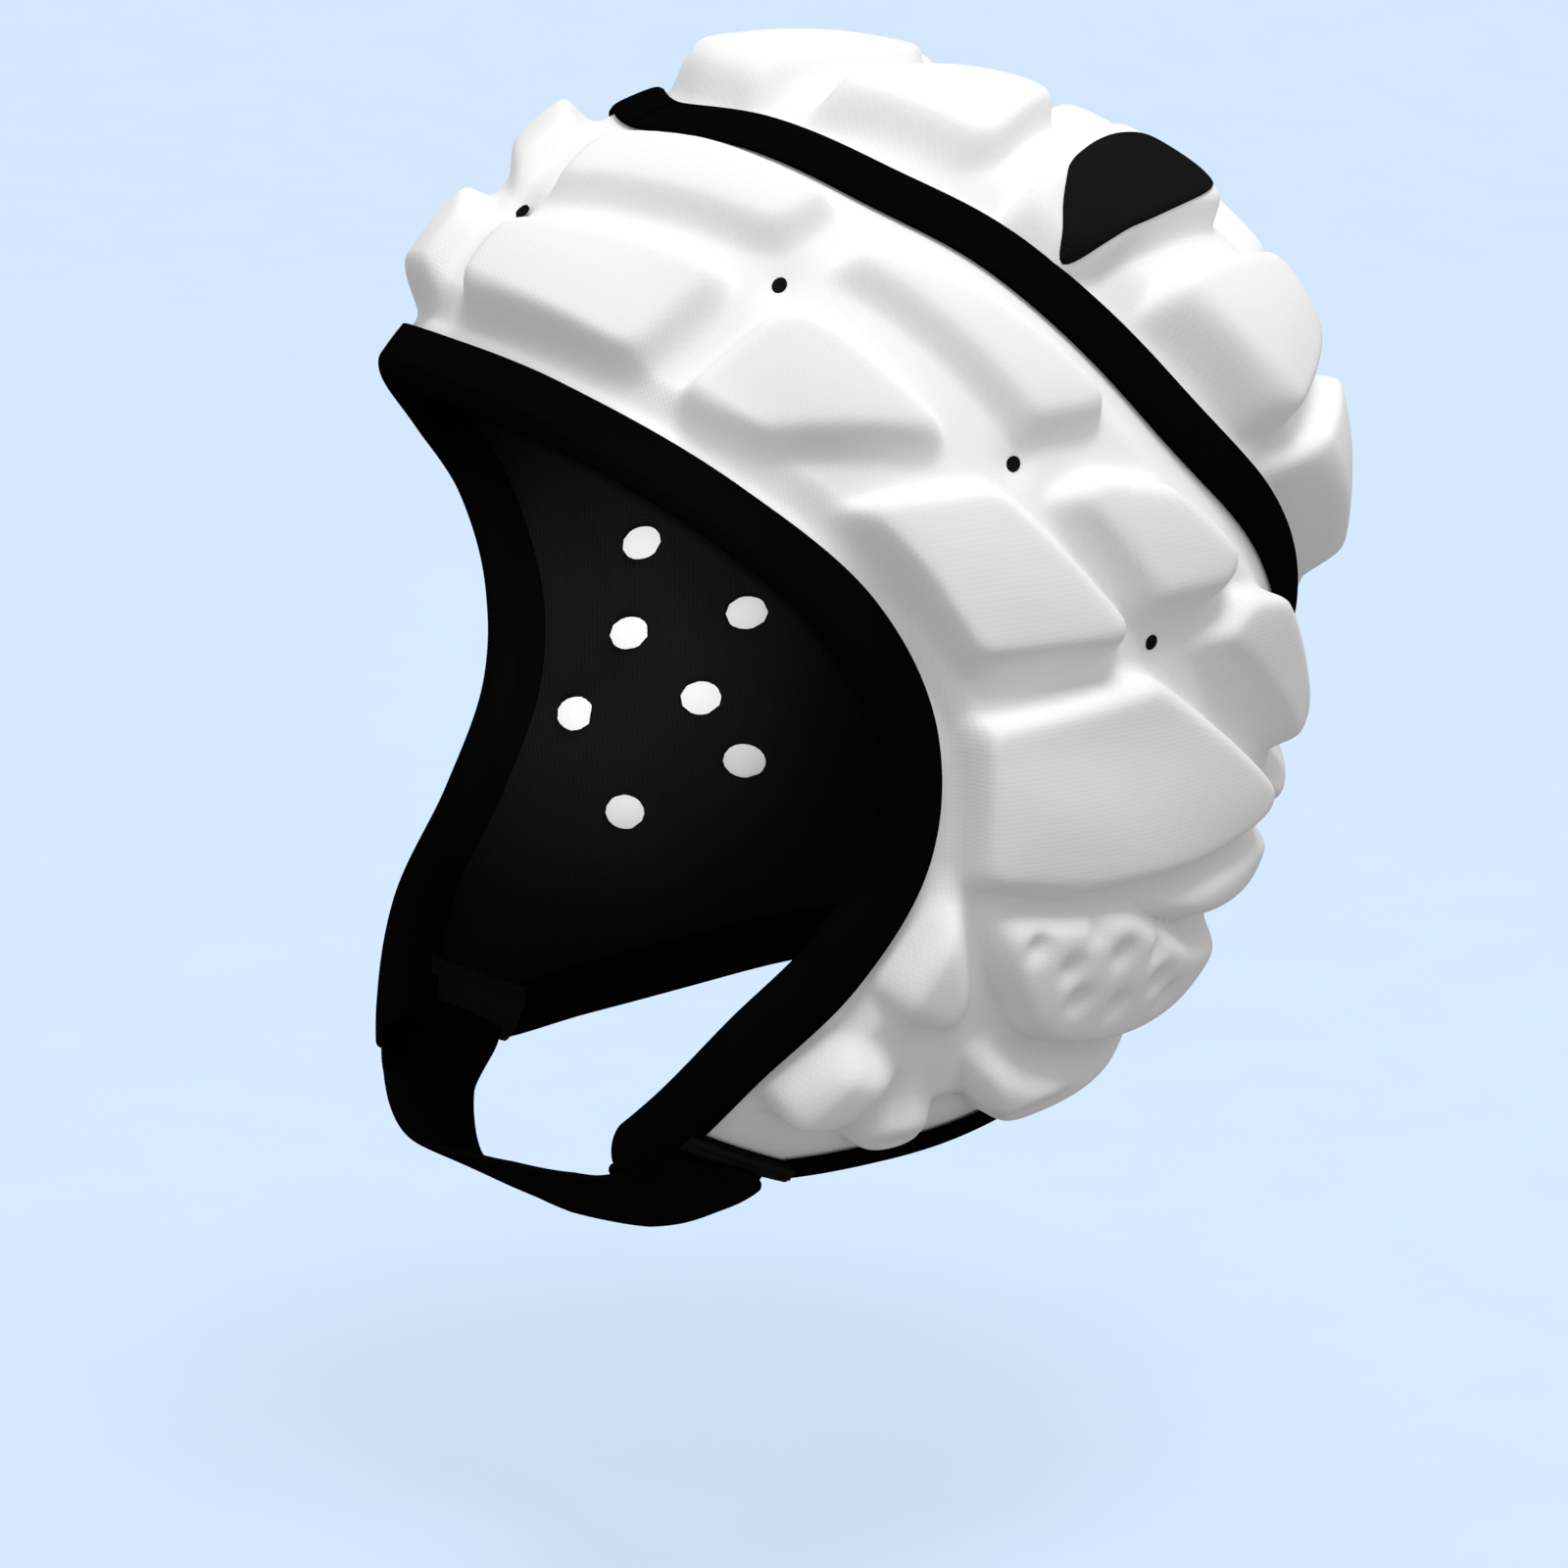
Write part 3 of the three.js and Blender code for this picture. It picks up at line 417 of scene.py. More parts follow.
def across(line, closed, towards=None, at=0):
    """Unit tangents across a line, to the left of its run seen from outside or towards a direction."""
    if closed:
        run = np.roll(line, -1, axis=0) - np.roll(line, 1, axis=0)
    else:
        run = np.gradient(line, axis=0)
    side = unit(np.cross(line, run))
    return side if towards is None else side * np.sign(side[at] @ towards)


def fine_shares(count):
    return np.linspace(0, 1, count + 1)


def densify(loop, factor):
    """Closed loop with each span between stations divided evenly."""
    t = np.arange(factor)[None, :, None] / factor
    after = np.roll(loop, -1, axis=0)
    return unit((loop[:, None] * (1 - t) + after[:, None] * t).reshape(-1, 3))


def band_stations(factor):
    """Stations on the band's loop, each facing its own station of the rim."""
    tip, corner = BAND_AT_CHEEK
    face = np.linspace(0, tip, FACE_STEPS * factor + 1)
    hem = np.linspace(tip, corner, HEM_STEPS * factor + 1)[1:]
    neck = np.linspace(corner, 1, NECK_STEPS * factor + 1)[1:]
    shares = np.concatenate([face, hem, neck])
    loop = whole_loop(to_direction(BAND_LINE))
    return whole_loop(unit(curve_at(loop, shares / 2, closed=True)))


def rim_corners():
    """Stations on the left half of the face edge and of the neck edge."""
    face = half_line(FACE_EDGE, fine_shares(FACE_STEPS))
    neck = half_line(NECK_EDGE[::-1], fine_shares(NECK_STEPS))[::-1]
    return face, neck


def panel_edge(factor):
    """Edge of the panel, inside the tape that is folded over it."""
    face, neck = rim_corners()
    hem = between(face[-1:], neck[:1], np.array([0.5]))
    rim = whole_loop(np.concatenate([face, hem, neck]))
    inset = np.full(len(rim), EDGE_INSET)
    corners = np.array([FACE_STEPS, FACE_STEPS + HEM_STEPS])
    inset[np.concatenate([corners, len(rim) - corners])] = CORNER_INSET
    return densify(step_along(rim, across(rim, True, to_direction(BAND_LINE[0])), inset), factor)


def guide_stations(factor):
    """Places that the wrap's grid lines bend towards, read from the guide at even shares."""
    share, *places = np.array(WRAP_GUIDE).T
    steps = (FACE_STEPS + HEM_STEPS + NECK_STEPS) * factor
    guide = to_direction(beside(*places))
    return whole_loop(unit(beside(*(np.interp(fine_shares(steps), share, part) for part in guide.T))))


def seam_stations(factor, inset):
    """Stations on the seam under the band, moved towards the crown's middle by an inset."""
    seam = band_stations(factor)
    return step_along(seam, across(seam, True, crown_pole()), inset)


def wrap_rows(factor, rows, inset):
    """Grid of directions: a quadratic curve from the band's seam, bent by the guide, to the free edge."""
    seam = seam_stations(factor, -inset)
    share = (1 - (1 - fine_shares(rows)) ** ROW_BIAS)[:, None, None]
    bent = seam * (1 - share) ** 2 + guide_stations(factor) * 2 * share * (1 - share)
    return unit(bent + panel_edge(factor) * share**2)


def crown_pole():
    """Middle of the crown, half way between the band's front and back."""
    ends = to_direction([BAND_LINE[0], BAND_LINE[-1]])
    return between(ends[0], ends[1], np.array(0.5))


def crown_rows(factor, rows, inset):
    """Grid of directions: great circles from the crown's middle out to the seam."""
    seam = seam_stations(factor, inset)
    pole = np.broadcast_to(crown_pole(), seam.shape)
    share = np.broadcast_to(fine_shares(rows)[1:, None], (rows, len(seam)))
    return between(pole[None], seam[None], share)


# Relief of the foam blocks


def local_map(middle):
    """Axes and radius of a flat map of the form round one direction, in millimetres."""
    east = np.cross([0.0, 0.0, 1.0], middle)
    if np.linalg.norm(east) < 0.2:
        east = np.array([1.0, 0.0, 0.0]) - middle * middle[0]
    east = east / np.linalg.norm(east)
    north = np.cross(middle, east)
    return middle, east, north, float(reach(middle[None], 0.0)[0])


def flatten(direction, chart):
    """Flat map of directions: arc length from the middle, along the way to it."""
    middle, east, north, radius = chart
    angle = np.arccos(np.clip(direction @ middle, -1, 1))
    return unit(beside(direction @ east, direction @ north)) * (angle * radius)[..., None]


def raise_from(flat, chart):
    """Directions of points on a flat map."""
    middle, east, north, radius = chart
    length = np.linalg.norm(flat, axis=-1, keepdims=True)
    angle = length / radius
    tangent = (flat[..., :1] * east + flat[..., 1:] * north) / np.maximum(length, 1e-9)
    return middle * np.cos(angle) + tangent * np.sin(angle)


def inside_distance(points, corners):
    """Distance to a polygon's nearest side, positive inside it."""
    a = corners
    b = np.roll(corners, -1, axis=0)
    side = b - a
    away = points[:, None] - a
    t = np.clip((away * side).sum(-1) / (side**2).sum(-1), 0, 1)
    distance = np.linalg.norm(away - t[..., None] * side, axis=-1).min(1)
    level = points[:, 1:2]
    crosses = (a[:, 1] > level) != (b[:, 1] > level)
    rise = np.where(np.abs(side[:, 1]) < 1e-9, 1e-9, side[:, 1])
    at = a[:, 0] + (level - a[:, 1]) * side[:, 0] / rise
    odd = (crosses & (points[:, :1] < at)).sum(1) % 2 == 1
    return np.where(odd, distance, -distance)


def softened(values, spread):
    """Gaussian average along both axes of a raster."""
    taps = np.arange(-int(3 * spread), int(3 * spread) + 1)
    weight = np.exp(-0.5 * (taps / spread) ** 2)
    weight /= weight.sum()
    for axis in (0, 1):
        pads = [(0, 0), (0, 0)]
        pads[axis] = (len(taps) // 2, len(taps) // 2)
        wide = np.pad(values, pads, mode="reflect", reflect_type="odd")
        count = values.shape[axis]
        values = sum(w * np.take(wide, np.arange(k, k + count), axis) for k, w in enumerate(weight))
    return values


def block_field(corners, low_pad=None):
    """Raster of the distance inside a block's outline on its own flat map, with softened corners."""
    middle = unit(corners.sum(0))
    chart = local_map(middle)
    outline = flatten(corners, chart)
    low = outline.min(0) - MARGIN
    high = outline.max(0) + MARGIN
    xs = np.arange(low[0], high[0], RASTER)
    ys = np.arange(low[1], high[1], RASTER)
    grid = np.stack(np.meshgrid(xs, ys, indexing="ij"), -1).reshape(-1, 2)
    values = inside_distance(grid, outline).reshape(len(xs), len(ys))
    spread = sizes().corner_softness / MM / RASTER
    values = softened(values, LOW_PAD_SOFTNESS * spread if low_pad else spread)
    deepest = values.max()
    start, gain, least = SMALL_BLOCK
    full = sizes().pad_rise / MM * np.clip(start + gain * deepest, least, 1)
    rise, bevel = low_pad or (full, sizes().bevel / MM)
    bevel = min(bevel, BEVEL_SHARE * deepest)
    far = np.linalg.norm(outline, axis=1).max() + 4
    return {"chart": chart, "low": low, "values": values, "far": far, "bevel": bevel, "rise": rise}


def read_field(field, direction):
    """Bilinear reading of a block's raster at directions near it."""
    flat = (flatten(direction, field["chart"]) - field["low"]) / RASTER
    values = field["values"]
    top = np.array(values.shape) - 2
    cell = np.clip(flat.astype(int), 0, top)
    u, v = np.clip(flat - cell, 0, 1).T
    i, j = cell.T
    low = values[i, j] * (1 - u) + values[i + 1, j] * u
    high = values[i, j + 1] * (1 - u) + values[i + 1, j + 1] * u
    return low * (1 - v) + high * v


def all_blocks(pads, middle_pads):
    """Fields of the left blocks, their mirror images and the middle blocks."""
    fields = []
    for name, rows in pads.items():
        left = to_direction(rows)
        low_pad = LOW_PADS.get(name)
        fields += [block_field(left, low_pad), block_field(mirrored(left)[::-1], low_pad)]
    return fields + [block_field(whole_loop(to_direction(rows))) for rows in middle_pads.values()]


def block_height(inside, bevel, rise):
    """Height over the distance inside: soft foot, straight side over the bevel, round edge, domed top."""
    start = SOFT_FOOT * np.logaddexp(0, inside / SOFT_FOOT)
    side = 1 - ROUND_EDGE * np.logaddexp(0, (1 - start / bevel) / ROUND_EDGE)
    dome = np.clip(inside / DOME_REACH, 0, 1)
    return (rise - DOME_RISE) * side + DOME_RISE * dome * (2 - dome)


def dips(direction, places, depth, spread):
    """Round hollows at places on the left and their mirror images."""
    middles = to_direction(places)
    middles = np.vstack([middles, mirrored(middles)])
    total = np.zeros(direction.shape[:-1])
    for middle in middles:
        away = np.arccos(np.clip(direction @ middle, -1, 1)) * SIDE_RADIUS
        total = total - depth * np.exp(-((away / spread) ** 2))
    return total


def hand_made(direction):
    """Small slow unevenness of moulded foam, from sines of the direction."""
    x, y, z = direction.T * SIDE_RADIUS / WAVE_LENGTH
    slow = 0.12 * np.sin(2.1 * x + 1.3 * z) * np.sin(1.7 * y - 0.6 * x)
    return slow + 0.1 * np.sin(3.1 * z + 2.3 * y + 0.7)


def floor_lift(direction):
    """Foam under the channels: nothing beside band and edges, then a smooth step to its full height."""
    away = [
        np.arccos(np.clip((direction @ line.T).max(1), -1, 1)) * FORM_RADIUS - clear
        for line, clear in zip((band_stations(FLOOR_STATIONS), panel_edge(FLOOR_STATIONS)), FLOOR_CLEAR)
    ]
    t = np.clip(np.minimum(*away) / FLOOR_STEP, 0, 1)
    return sizes().floor_rise / MM * t * t * (3 - 2 * t)


def relief(direction, blocks):
    """Lift of the cloth: the channel's foam, the highest block there, dimples and vents."""
    height = np.zeros(len(direction))
    for field in blocks:
        middle, _, _, radius = field["chart"]
        near = np.flatnonzero(direction @ middle > np.cos(field["far"] / radius))
        block = block_height(read_field(field, direction[near]), field["bevel"], field["rise"])
        height[near] = np.maximum(height[near], block)
    share = np.clip(height / PUCKER_HEIGHT, 0, 1)
    puckers = (dips(direction, EAR_BUTTONS, *BUTTON_DIP) + hand_made(direction)) * share
    return floor_lift(direction) + height + puckers + dips(direction, WRAP_VENTS, *VENT_DIP)


# Meshes


def quads(rows, columns, closed_rows=False, closed_columns=False):
    """Corner numbers of a grid's faces, row by row."""
    r = np.arange(rows if closed_rows else rows - 1)[:, None]
    c = np.arange(columns if closed_columns else columns - 1)[None, :]
    r2 = (r + 1) % rows
    c2 = (c + 1) % columns
    ring = beside(r * columns + c, r * columns + c2, r2 * columns + c2, r2 * columns + c)
    return ring.reshape(-1, 4)


def fan(ring, tip):
    """Triangles from the sides of a closed ring of corners to its tip."""
    return beside(ring, np.roll(ring, -1), tip)


def end_fans(rows, columns):
    """Fans on the first and last ring of a grid, to two tips that are numbered after it."""
    ring = np.arange(columns)
    return [fan(ring, rows * columns)[:, ::-1], fan(ring + (rows - 1) * columns, rows * columns + 1)]


def outward(points, faces, tips=()):
    """Faces and fans turned so that the volume inside, a sum of triple products, is positive."""
    a, b, c, d = (points[faces[:, k]] for k in range(4))
    volume = (np.cross(a, b) * c).sum() + (np.cross(a, c) * d).sum()
    way = 1 if volume > 0 else -1
    return faces[:, ::way], [tip[:, ::way] for tip in tips]


def sheet_uv(direction):
    """Metres aft and up on the head form, the same on both sides, for patterns that follow the cloth."""
    away = np.arccos(np.clip(np.abs(direction[:, 0]), 0, 1))
    return unit(direction[:, 1:]) * (away * FORM_RADIUS * MM)[:, None]


def add_object(name, data):
    item = bpy.data.objects.new(name, data)
    bpy.context.scene.collection.objects.link(item)
    return item


def add_piece(name, points, faces, uv, slot, nodes=(), tips=()):
    """Mesh object from points in millimetres and quads; tips are triangle fans that close poles."""
    mesh = bpy.data.meshes.new(name)
    listed = faces.tolist() + [triangle for tip in tips for triangle in tip.tolist()]
    mesh.from_pydata((points * MM).tolist(), [], listed)
    layer = mesh.uv_layers.new(name="cloth")
    corner = np.empty(len(mesh.loops), np.int32)
    mesh.loops.foreach_get("vertex_index", corner)
    layer.data.foreach_set("uv", uv[corner].astype(np.float32).ravel())
    mesh.materials.append(cloth_material(slot))
    mesh.shade_smooth()
    mesh.validate()
    piece = add_object(name, mesh)
    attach(piece, "root")
    if nodes:
        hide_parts(*nodes)
    return piece


def swept(name, line, tangent, section, closed, slot, nodes):
    """Section points (distance across, lift) carried along a line of directions on the form."""
    distances, lifts = section.T
    directions = np.stack([step_along(line, tangent, np.full(len(line), s)) for s in distances], 1)
    lifts = np.broadcast_to(lifts, directions.shape[:2])
    return ribbon(name, surface(directions, lifts), closed, slot, nodes)


def ribbon(name, points, closed, slot, nodes):
    """Closed tube of sections; a fan to the section's middle covers an open end.

    The UV map is metres along the tube and round it.
    """
    stations, count = points.shape[:2]
    along = running_length(points.mean(1))
    round_way = running_length(points[stations // 2])
    uv = beside(along[:, None], round_way).reshape(-1, 2) * MM
    flat = points.reshape(-1, 3)
    tips = []
    if not closed:
        tips = end_fans(stations, count)
        flat = np.vstack([flat, points[[0, -1]].mean(1)])
        uv = np.vstack([uv, uv[[0, -1]]])
    faces, tips = outward(flat, quads(stations, count, closed, True), tips)
    return add_piece(name, flat, faces, uv, slot, nodes, tips)


# Materials


def group_of(name, setting, default, output):
    """New shader node group with a vector and one float setting as inputs and one float output."""
    group = bpy.data.node_groups.new(name, "ShaderNodeTree")
    group.interface.new_socket(name="Vector", in_out="INPUT", socket_type="NodeSocketVector")
    socket = group.interface.new_socket(name=setting, in_out="INPUT", socket_type="NodeSocketFloat")
    socket.default_value = default
    group.interface.new_socket(name=output, in_out="OUTPUT", socket_type="NodeSocketFloat")
    return group, group.nodes.new("NodeGroupInput"), group.nodes.new("NodeGroupOutput")


def math_node(tree, operation, first, second=None):
    """Math node whose inputs are sockets or numbers."""
    node = tree.nodes.new("ShaderNodeMath")
    node.operation = operation
    for k, value in enumerate((first, second)):
        if value is None:
            continue
        if isinstance(value, (int, float)):
            node.inputs[k].default_value = value
        else:
            tree.links.new(value, node.inputs[k])
    return node.outputs[0]


def weave_group(name):
    """New group for the height of a weave, with u and v, the vector's first parts counted in pitches."""
    group, source, result = group_of(name, "Pitch", 0.001, "Height")
    split = group.nodes.new("ShaderNodeSeparateXYZ")
    group.links.new(source.outputs["Vector"], split.inputs[0])
    u, v = (math_node(group, "DIVIDE", split.outputs[k], source.outputs["Pitch"]) for k in (0, 1))
    return group, u, v, result.inputs["Height"]


def knit_group():
    """Knit height: columns |sin(pi u)| whose loops sin(2 pi (v + lean)) lean with the column."""
    group, u, v, height = weave_group("knit")
    calc = partial(math_node, group)
    column = calc("ABSOLUTE", calc("SINE", calc("MULTIPLY", u, np.pi)))
    lean = calc("ADD", v, calc("MULTIPLY", column, 0.35))
    loop = calc("SINE", calc("MULTIPLY", lean, 2 * np.pi))
    loop = calc("ADD", calc("MULTIPLY", loop, 0.35), 0.65)
    group.links.new(calc("MULTIPLY", column, loop), height)
    return group


def twill_group():
    """Twill height: slanting ribs sin(2 pi (u + v)) broken by weft threads sin(2 pi (v / 2 - u))."""
    group, u, v, height = weave_group("twill")
    calc = partial(math_node, group)
    rib = calc("SINE", calc("MULTIPLY", calc("ADD", u, v), 2 * np.pi))
    lower = calc("SUBTRACT", calc("MULTIPLY", v, 0.5), u)
    weft = calc("SINE", calc("MULTIPLY", lower, 2 * np.pi))
    both = calc("ADD", rib, calc("MULTIPLY", weft, 0.5))
    group.links.new(calc("ADD", calc("MULTIPLY", both, 0.33), 0.5), height)
    return group


def tone_group():
    """Uneven tone: broad and fine noise in object space, as a share from 0 to 1."""
    group, source, result = group_of("tone", "Scale", 60.0, "Share")
    calc = partial(math_node, group)
    broad = source.outputs["Scale"]
    parts = []
    for scale, detail, weight in ((broad, 3, 0.65), (calc("MULTIPLY", broad, 9), 2, 0.35)):
        noise = group.nodes.new("ShaderNodeTexNoise")
        noise.inputs["Detail"].default_value = detail
        group.links.new(source.outputs["Vector"], noise.inputs["Vector"])
        group.links.new(scale, noise.inputs["Scale"])
        parts.append(calc("MULTIPLY", noise.outputs[0], weight))
    group.links.new(calc("ADD", *parts), result.inputs["Share"])
    return group


GROUPS = {"knit": knit_group, "twill": twill_group, "tone": tone_group}


def group_node(tree, name, vector, setting, value):
    """Output of a shared group placed in a material with its own setting."""
    node = tree.nodes.new("ShaderNodeGroup")
    node.node_tree = bpy.data.node_groups.get(name) or GROUPS[name]()
    node.inputs[setting].default_value = value
    tree.links.new(vector, node.inputs["Vector"])
    return node.outputs[0]


def shade_node(tree, share, base, low, high):
    """Colour that runs from a low to a high multiple of the base colour with a share."""
    mix = tree.nodes.new("ShaderNodeMix")
    mix.data_type = "RGBA"
    for socket, factor in (("A", low), ("B", high)):
        mix.inputs[socket].default_value = (*[min(1, part * factor) for part in base], 1)
    tree.links.new(share, mix.inputs["Factor"])
    return mix.outputs["Result"]


def cloth_material(slot):
    """Cloth of a slot, made once: tone from noise between two shades with painted shade in the weave's
    grooves, weave also as bump.
    """
    name, tint, weave, spread, pitch, depth, roughness, specular = CLOTHS[slot]
    if name in bpy.data.materials:
        return bpy.data.materials[name]
    material = bpy.data.materials.new(name)
    material.use_nodes = True
    tree = material.node_tree
    calc = partial(math_node, tree)
    shader = tree.nodes["Principled BSDF"]
    place = tree.nodes.new("ShaderNodeTexCoord")
    uv = tree.nodes.new("ShaderNodeUVMap")
    uv.uv_map = "cloth"
    tone = group_node(tree, "tone", place.outputs["Object"], "Scale", TONE_SCALE)
    height = group_node(tree, weave, uv.outputs[0], "Pitch", pitch)
    # The colour mixes random tone with the weave's height: painted shade, darker in the grooves and lighter
    # on the threads
    share = calc("ADD", calc("MULTIPLY", tone, 0.7), calc("MULTIPLY", height, 0.3))
    shade = shade_node(tree, share, getattr(colours(), tint), 1 - spread, 1 + spread)
    tree.links.new(shade, shader.inputs["Base Color"])
    rough = calc("ADD", calc("MULTIPLY", tone, 0.12), roughness - 0.06)
    tree.links.new(rough, shader.inputs["Roughness"])
    shader.inputs["Specular IOR Level"].default_value = specular
    bump = tree.nodes.new("ShaderNodeBump")
    bump.inputs["Strength"].default_value = 1
    bump.inputs["Distance"].default_value = depth
    tree.links.new(height, bump.inputs["Height"])
    tree.links.new(bump.outputs[0], shader.inputs["Normal"])
    return material


# Pieces


class HELMET_OT_panels(bpy.types.Operator):
    """White panels over the foam blocks: outer skin with relief and plain inner skin, joined at the edges"""

    bl_idname = "helmet.panels"
    bl_label = "Padded panels"

    def execute(self, context):
        blocks = all_blocks(WRAP_PADS, WRAP_MIDDLE_PADS) + all_blocks(CROWN_PADS, CROWN_MIDDLE_PADS)
        pole = crown_pole()[None]
        panels = (
            ("wrap_padding", "wrap_panel", wrap_rows, WRAP_ROWS, []),
            ("crown_padding", "crown_panel", crown_rows, CROWN_ROWS, [pole]),
        )
        for name, node, grid, count, poles in panels:
            outer = grid(STATIONS_PER_STEP, count, SEAM_INSET)
            inner = grid(STATIONS_PER_STEP, INNER_ROWS, SEAM_INSET)[::-1]
            rows, columns = len(outer) + len(inner), outer.shape[1]
            flat = np.vstack([outer.reshape(-1, 3), inner.reshape(-1, 3), *poles, *poles])
            lifts = np.full(len(flat), -PANEL_WALL)
            raised = np.r_[:outer[..., 0].size, rows * columns:rows * columns + len(poles)]
            lifts[raised] = relief(flat[raised], blocks)
            points = surface(flat, lifts)
            tips = end_fans(rows, columns) if poles else []
            faces, tips = outward(points, quads(rows, columns, not poles, True), tips)
            piece = add_piece(name, points, faces, sheet_uv(flat), "padded_cloth", [node], tips)
        return {"FINISHED"}


class HELMET_OT_vents(bpy.types.Operator):
    """Small dark vents in the channels: shallow round cups set in their hollows"""

    bl_idname = "helmet.vents"
    bl_label = "Vents"

    def execute(self, context):
        places = to_direction(WRAP_VENTS[:-1])
        beside_middle = places[places[:, 0] > 0.01]
        radius = sizes().vent / MM / 2
        turn = np.linspace(0, 2 * np.pi, 20, endpoint=False)
        share, height = VENT_CUP.T
        rings = beside(np.cos(turn), np.sin(turn)) * radius * share[1:, None, None]
        spots = np.vstack([rings.reshape(-1, 2), [(0, 0)]])
        hollow = height - VENT_DIP[0] * np.exp(-((share * radius / VENT_DIP[1]) ** 2))
        lifts = np.append(np.repeat(hollow[1:], len(turn)), hollow[0])
        grid = quads(len(share) - 1, len(turn), False, True)[:, ::-1]
        bottom = fan(np.arange(len(turn)), len(spots) - 1)
        points, faces, fans = [], [], []
        for k, place in enumerate(np.vstack([places, mirrored(beside_middle)])):
            directions = raise_from(spots, local_map(place))
            points.append(surface(directions, floor_lift(place[None])[0] + lifts))
            faces.append(grid + k * len(spots))
            fans.append(bottom + k * len(spots))
        points = np.vstack(points)
        add_piece("vent_cups", points, np.vstack(faces), points[:, :2] * MM, "lining_cloth", tips=fans)
        return {"FINISHED"}


def cut_holes(flat, faces, holes, radius):
    """Oval holes in a grid: of an edge that crosses a rim the nearer end moves onto it, faces inside go.

    Returns the quads that stay and the triangles left of quads with one corner inside.
    """
    side = np.ones(len(flat))
    pairs = np.vstack([faces[:, [0, 1]], faces[:, [1, 2]], faces[:, [2, 3]], faces[:, [3, 0]]])
    for hole in holes:
        chart = local_map(hole)
        spot = flatten(flat, chart) / HOLE_SHAPE
        away = np.linalg.norm(spot, axis=1) - radius
        ends = pairs[away[pairs].prod(1) < 0]
        first, second = ends.T
        nearer = np.unique(np.where(np.abs(away[first]) < np.abs(away[second]), first, second))
        flat[nearer] = raise_from(unit(spot[nearer]) * radius * HOLE_SHAPE, chart)
        side[away < 0] = -1
        side[nearer] = 0
    state = side[faces]
    mixed = (state.min(1) < 0) & (state.max(1) > 0)
    order = (state[mixed].argmin(1)[:, None] + np.arange(1, 4)) % 4
    corners = np.take_along_axis(faces[mixed], order, 1)
    return faces[(state.max(1) > 0) & ~mixed], corners


class HELMET_OT_lining(bpy.types.Operator):
    """Black inner skin from the crown's middle to the free edge, with oval ear holes"""

    bl_idname = "helmet.lining"
    bl_label = "Lining"

    def execute(self, context):
        top = crown_rows(LINING_STATIONS, LINING_ROWS[0], 0.0)
        grid = np.concatenate([top, wrap_rows(LINING_STATIONS, LINING_ROWS[1], 0.0)[1:]])
        rows, columns = grid.shape[:2]
        flat = np.vstack([grid.reshape(-1, 3), crown_pole()[None]])
        holes = to_direction(EAR_HOLES)
        holes = np.vstack([holes, mirrored(holes)])
        kept, corners = cut_holes(flat, quads(rows, columns, False, True), holes, sizes().ear_hole / MM / 2)
        points = surface(flat, np.full(len(flat), lining_lifts()[0]))
        a, b, c = points[kept[0, :3]]
        way = 1 if np.cross(b - a, c - a) @ flat[kept[0, 0]] > 0 else -1
        tips = [fan(np.arange(columns), rows * columns)[:, ::-way], corners[:, ::way]]
        piece = add_piece(
            "inner_lining", points, kept[:, ::way], sheet_uv(flat), "lining_cloth", ["lining"], tips)
        wall = piece.modifiers.new("wall", "SOLIDIFY")
        wall.thickness = sizes().lining_wall
        wall.offset = -1
        return {"FINISHED"}


def folded_section(width, ridges=0, over=0.0):
    """Tape folded over an edge: outer leaf, round fold, inner leaf, back along the inside.

    Ridges swell the outer leaf. Over is how far it lies over another tape.
    """
    wall = sizes().tape_wall / MM
    outer = TAPE_GAP + wall + over
    inner_top = lining_lifts()[1] - FOLD_INSIDE - over
    inner_low = inner_top - wall
    depth = (outer - inner_low) / 2
    middle = (outer + inner_low) / 2
    fold = min(FOLD_REACH, width * 0.45)
    leaf = np.linspace(1, 0, 14)
    out = fold + (width - fold) * leaf
    back = out[::-1]
    bend = np.linspace(np.pi / 2, -np.pi / 2, 17)
    swell = RIDGE_SWELL * np.sin(np.pi * ridges * leaf) ** 2 if ridges else LEAF_SWELL * np.sin(np.pi * leaf)
    top = beside(out, outer + swell * np.minimum(1, 4 * leaf * (1 - leaf) + 0.2))
    nose = beside(fold - fold * np.cos(bend), middle + depth * np.sin(bend))
    bend = bend[::-1]
    hollow = beside(fold - (fold - wall) * np.cos(bend), middle + (depth - wall) * np.sin(bend))
    low, inside, under = beside(back, inner_low), beside(out, inner_top), beside(back, TAPE_GAP)
    return np.vstack([top, nose[1:], low[1:], inside, hollow[1:], under[1:]])


def edge_tape(name, rows, part, width, inside, nodes, count):
    """Tape folded over an edge that crosses the middle plane, along part of its left half and its mirror."""
    half = half_line(rows, np.linspace(0, part, count))
    line = np.vstack([mirrored(half[1:])[::-1], half])
    tangent = across(line, False, inside, count - 1)
    return swept(name, line, tangent, folded_section(width), False, "black_tape", nodes)


def arc_length(a, b):
    return float(np.arccos(np.clip(a @ b, -1, 1)) * reach(a[None], 0.0)[0])


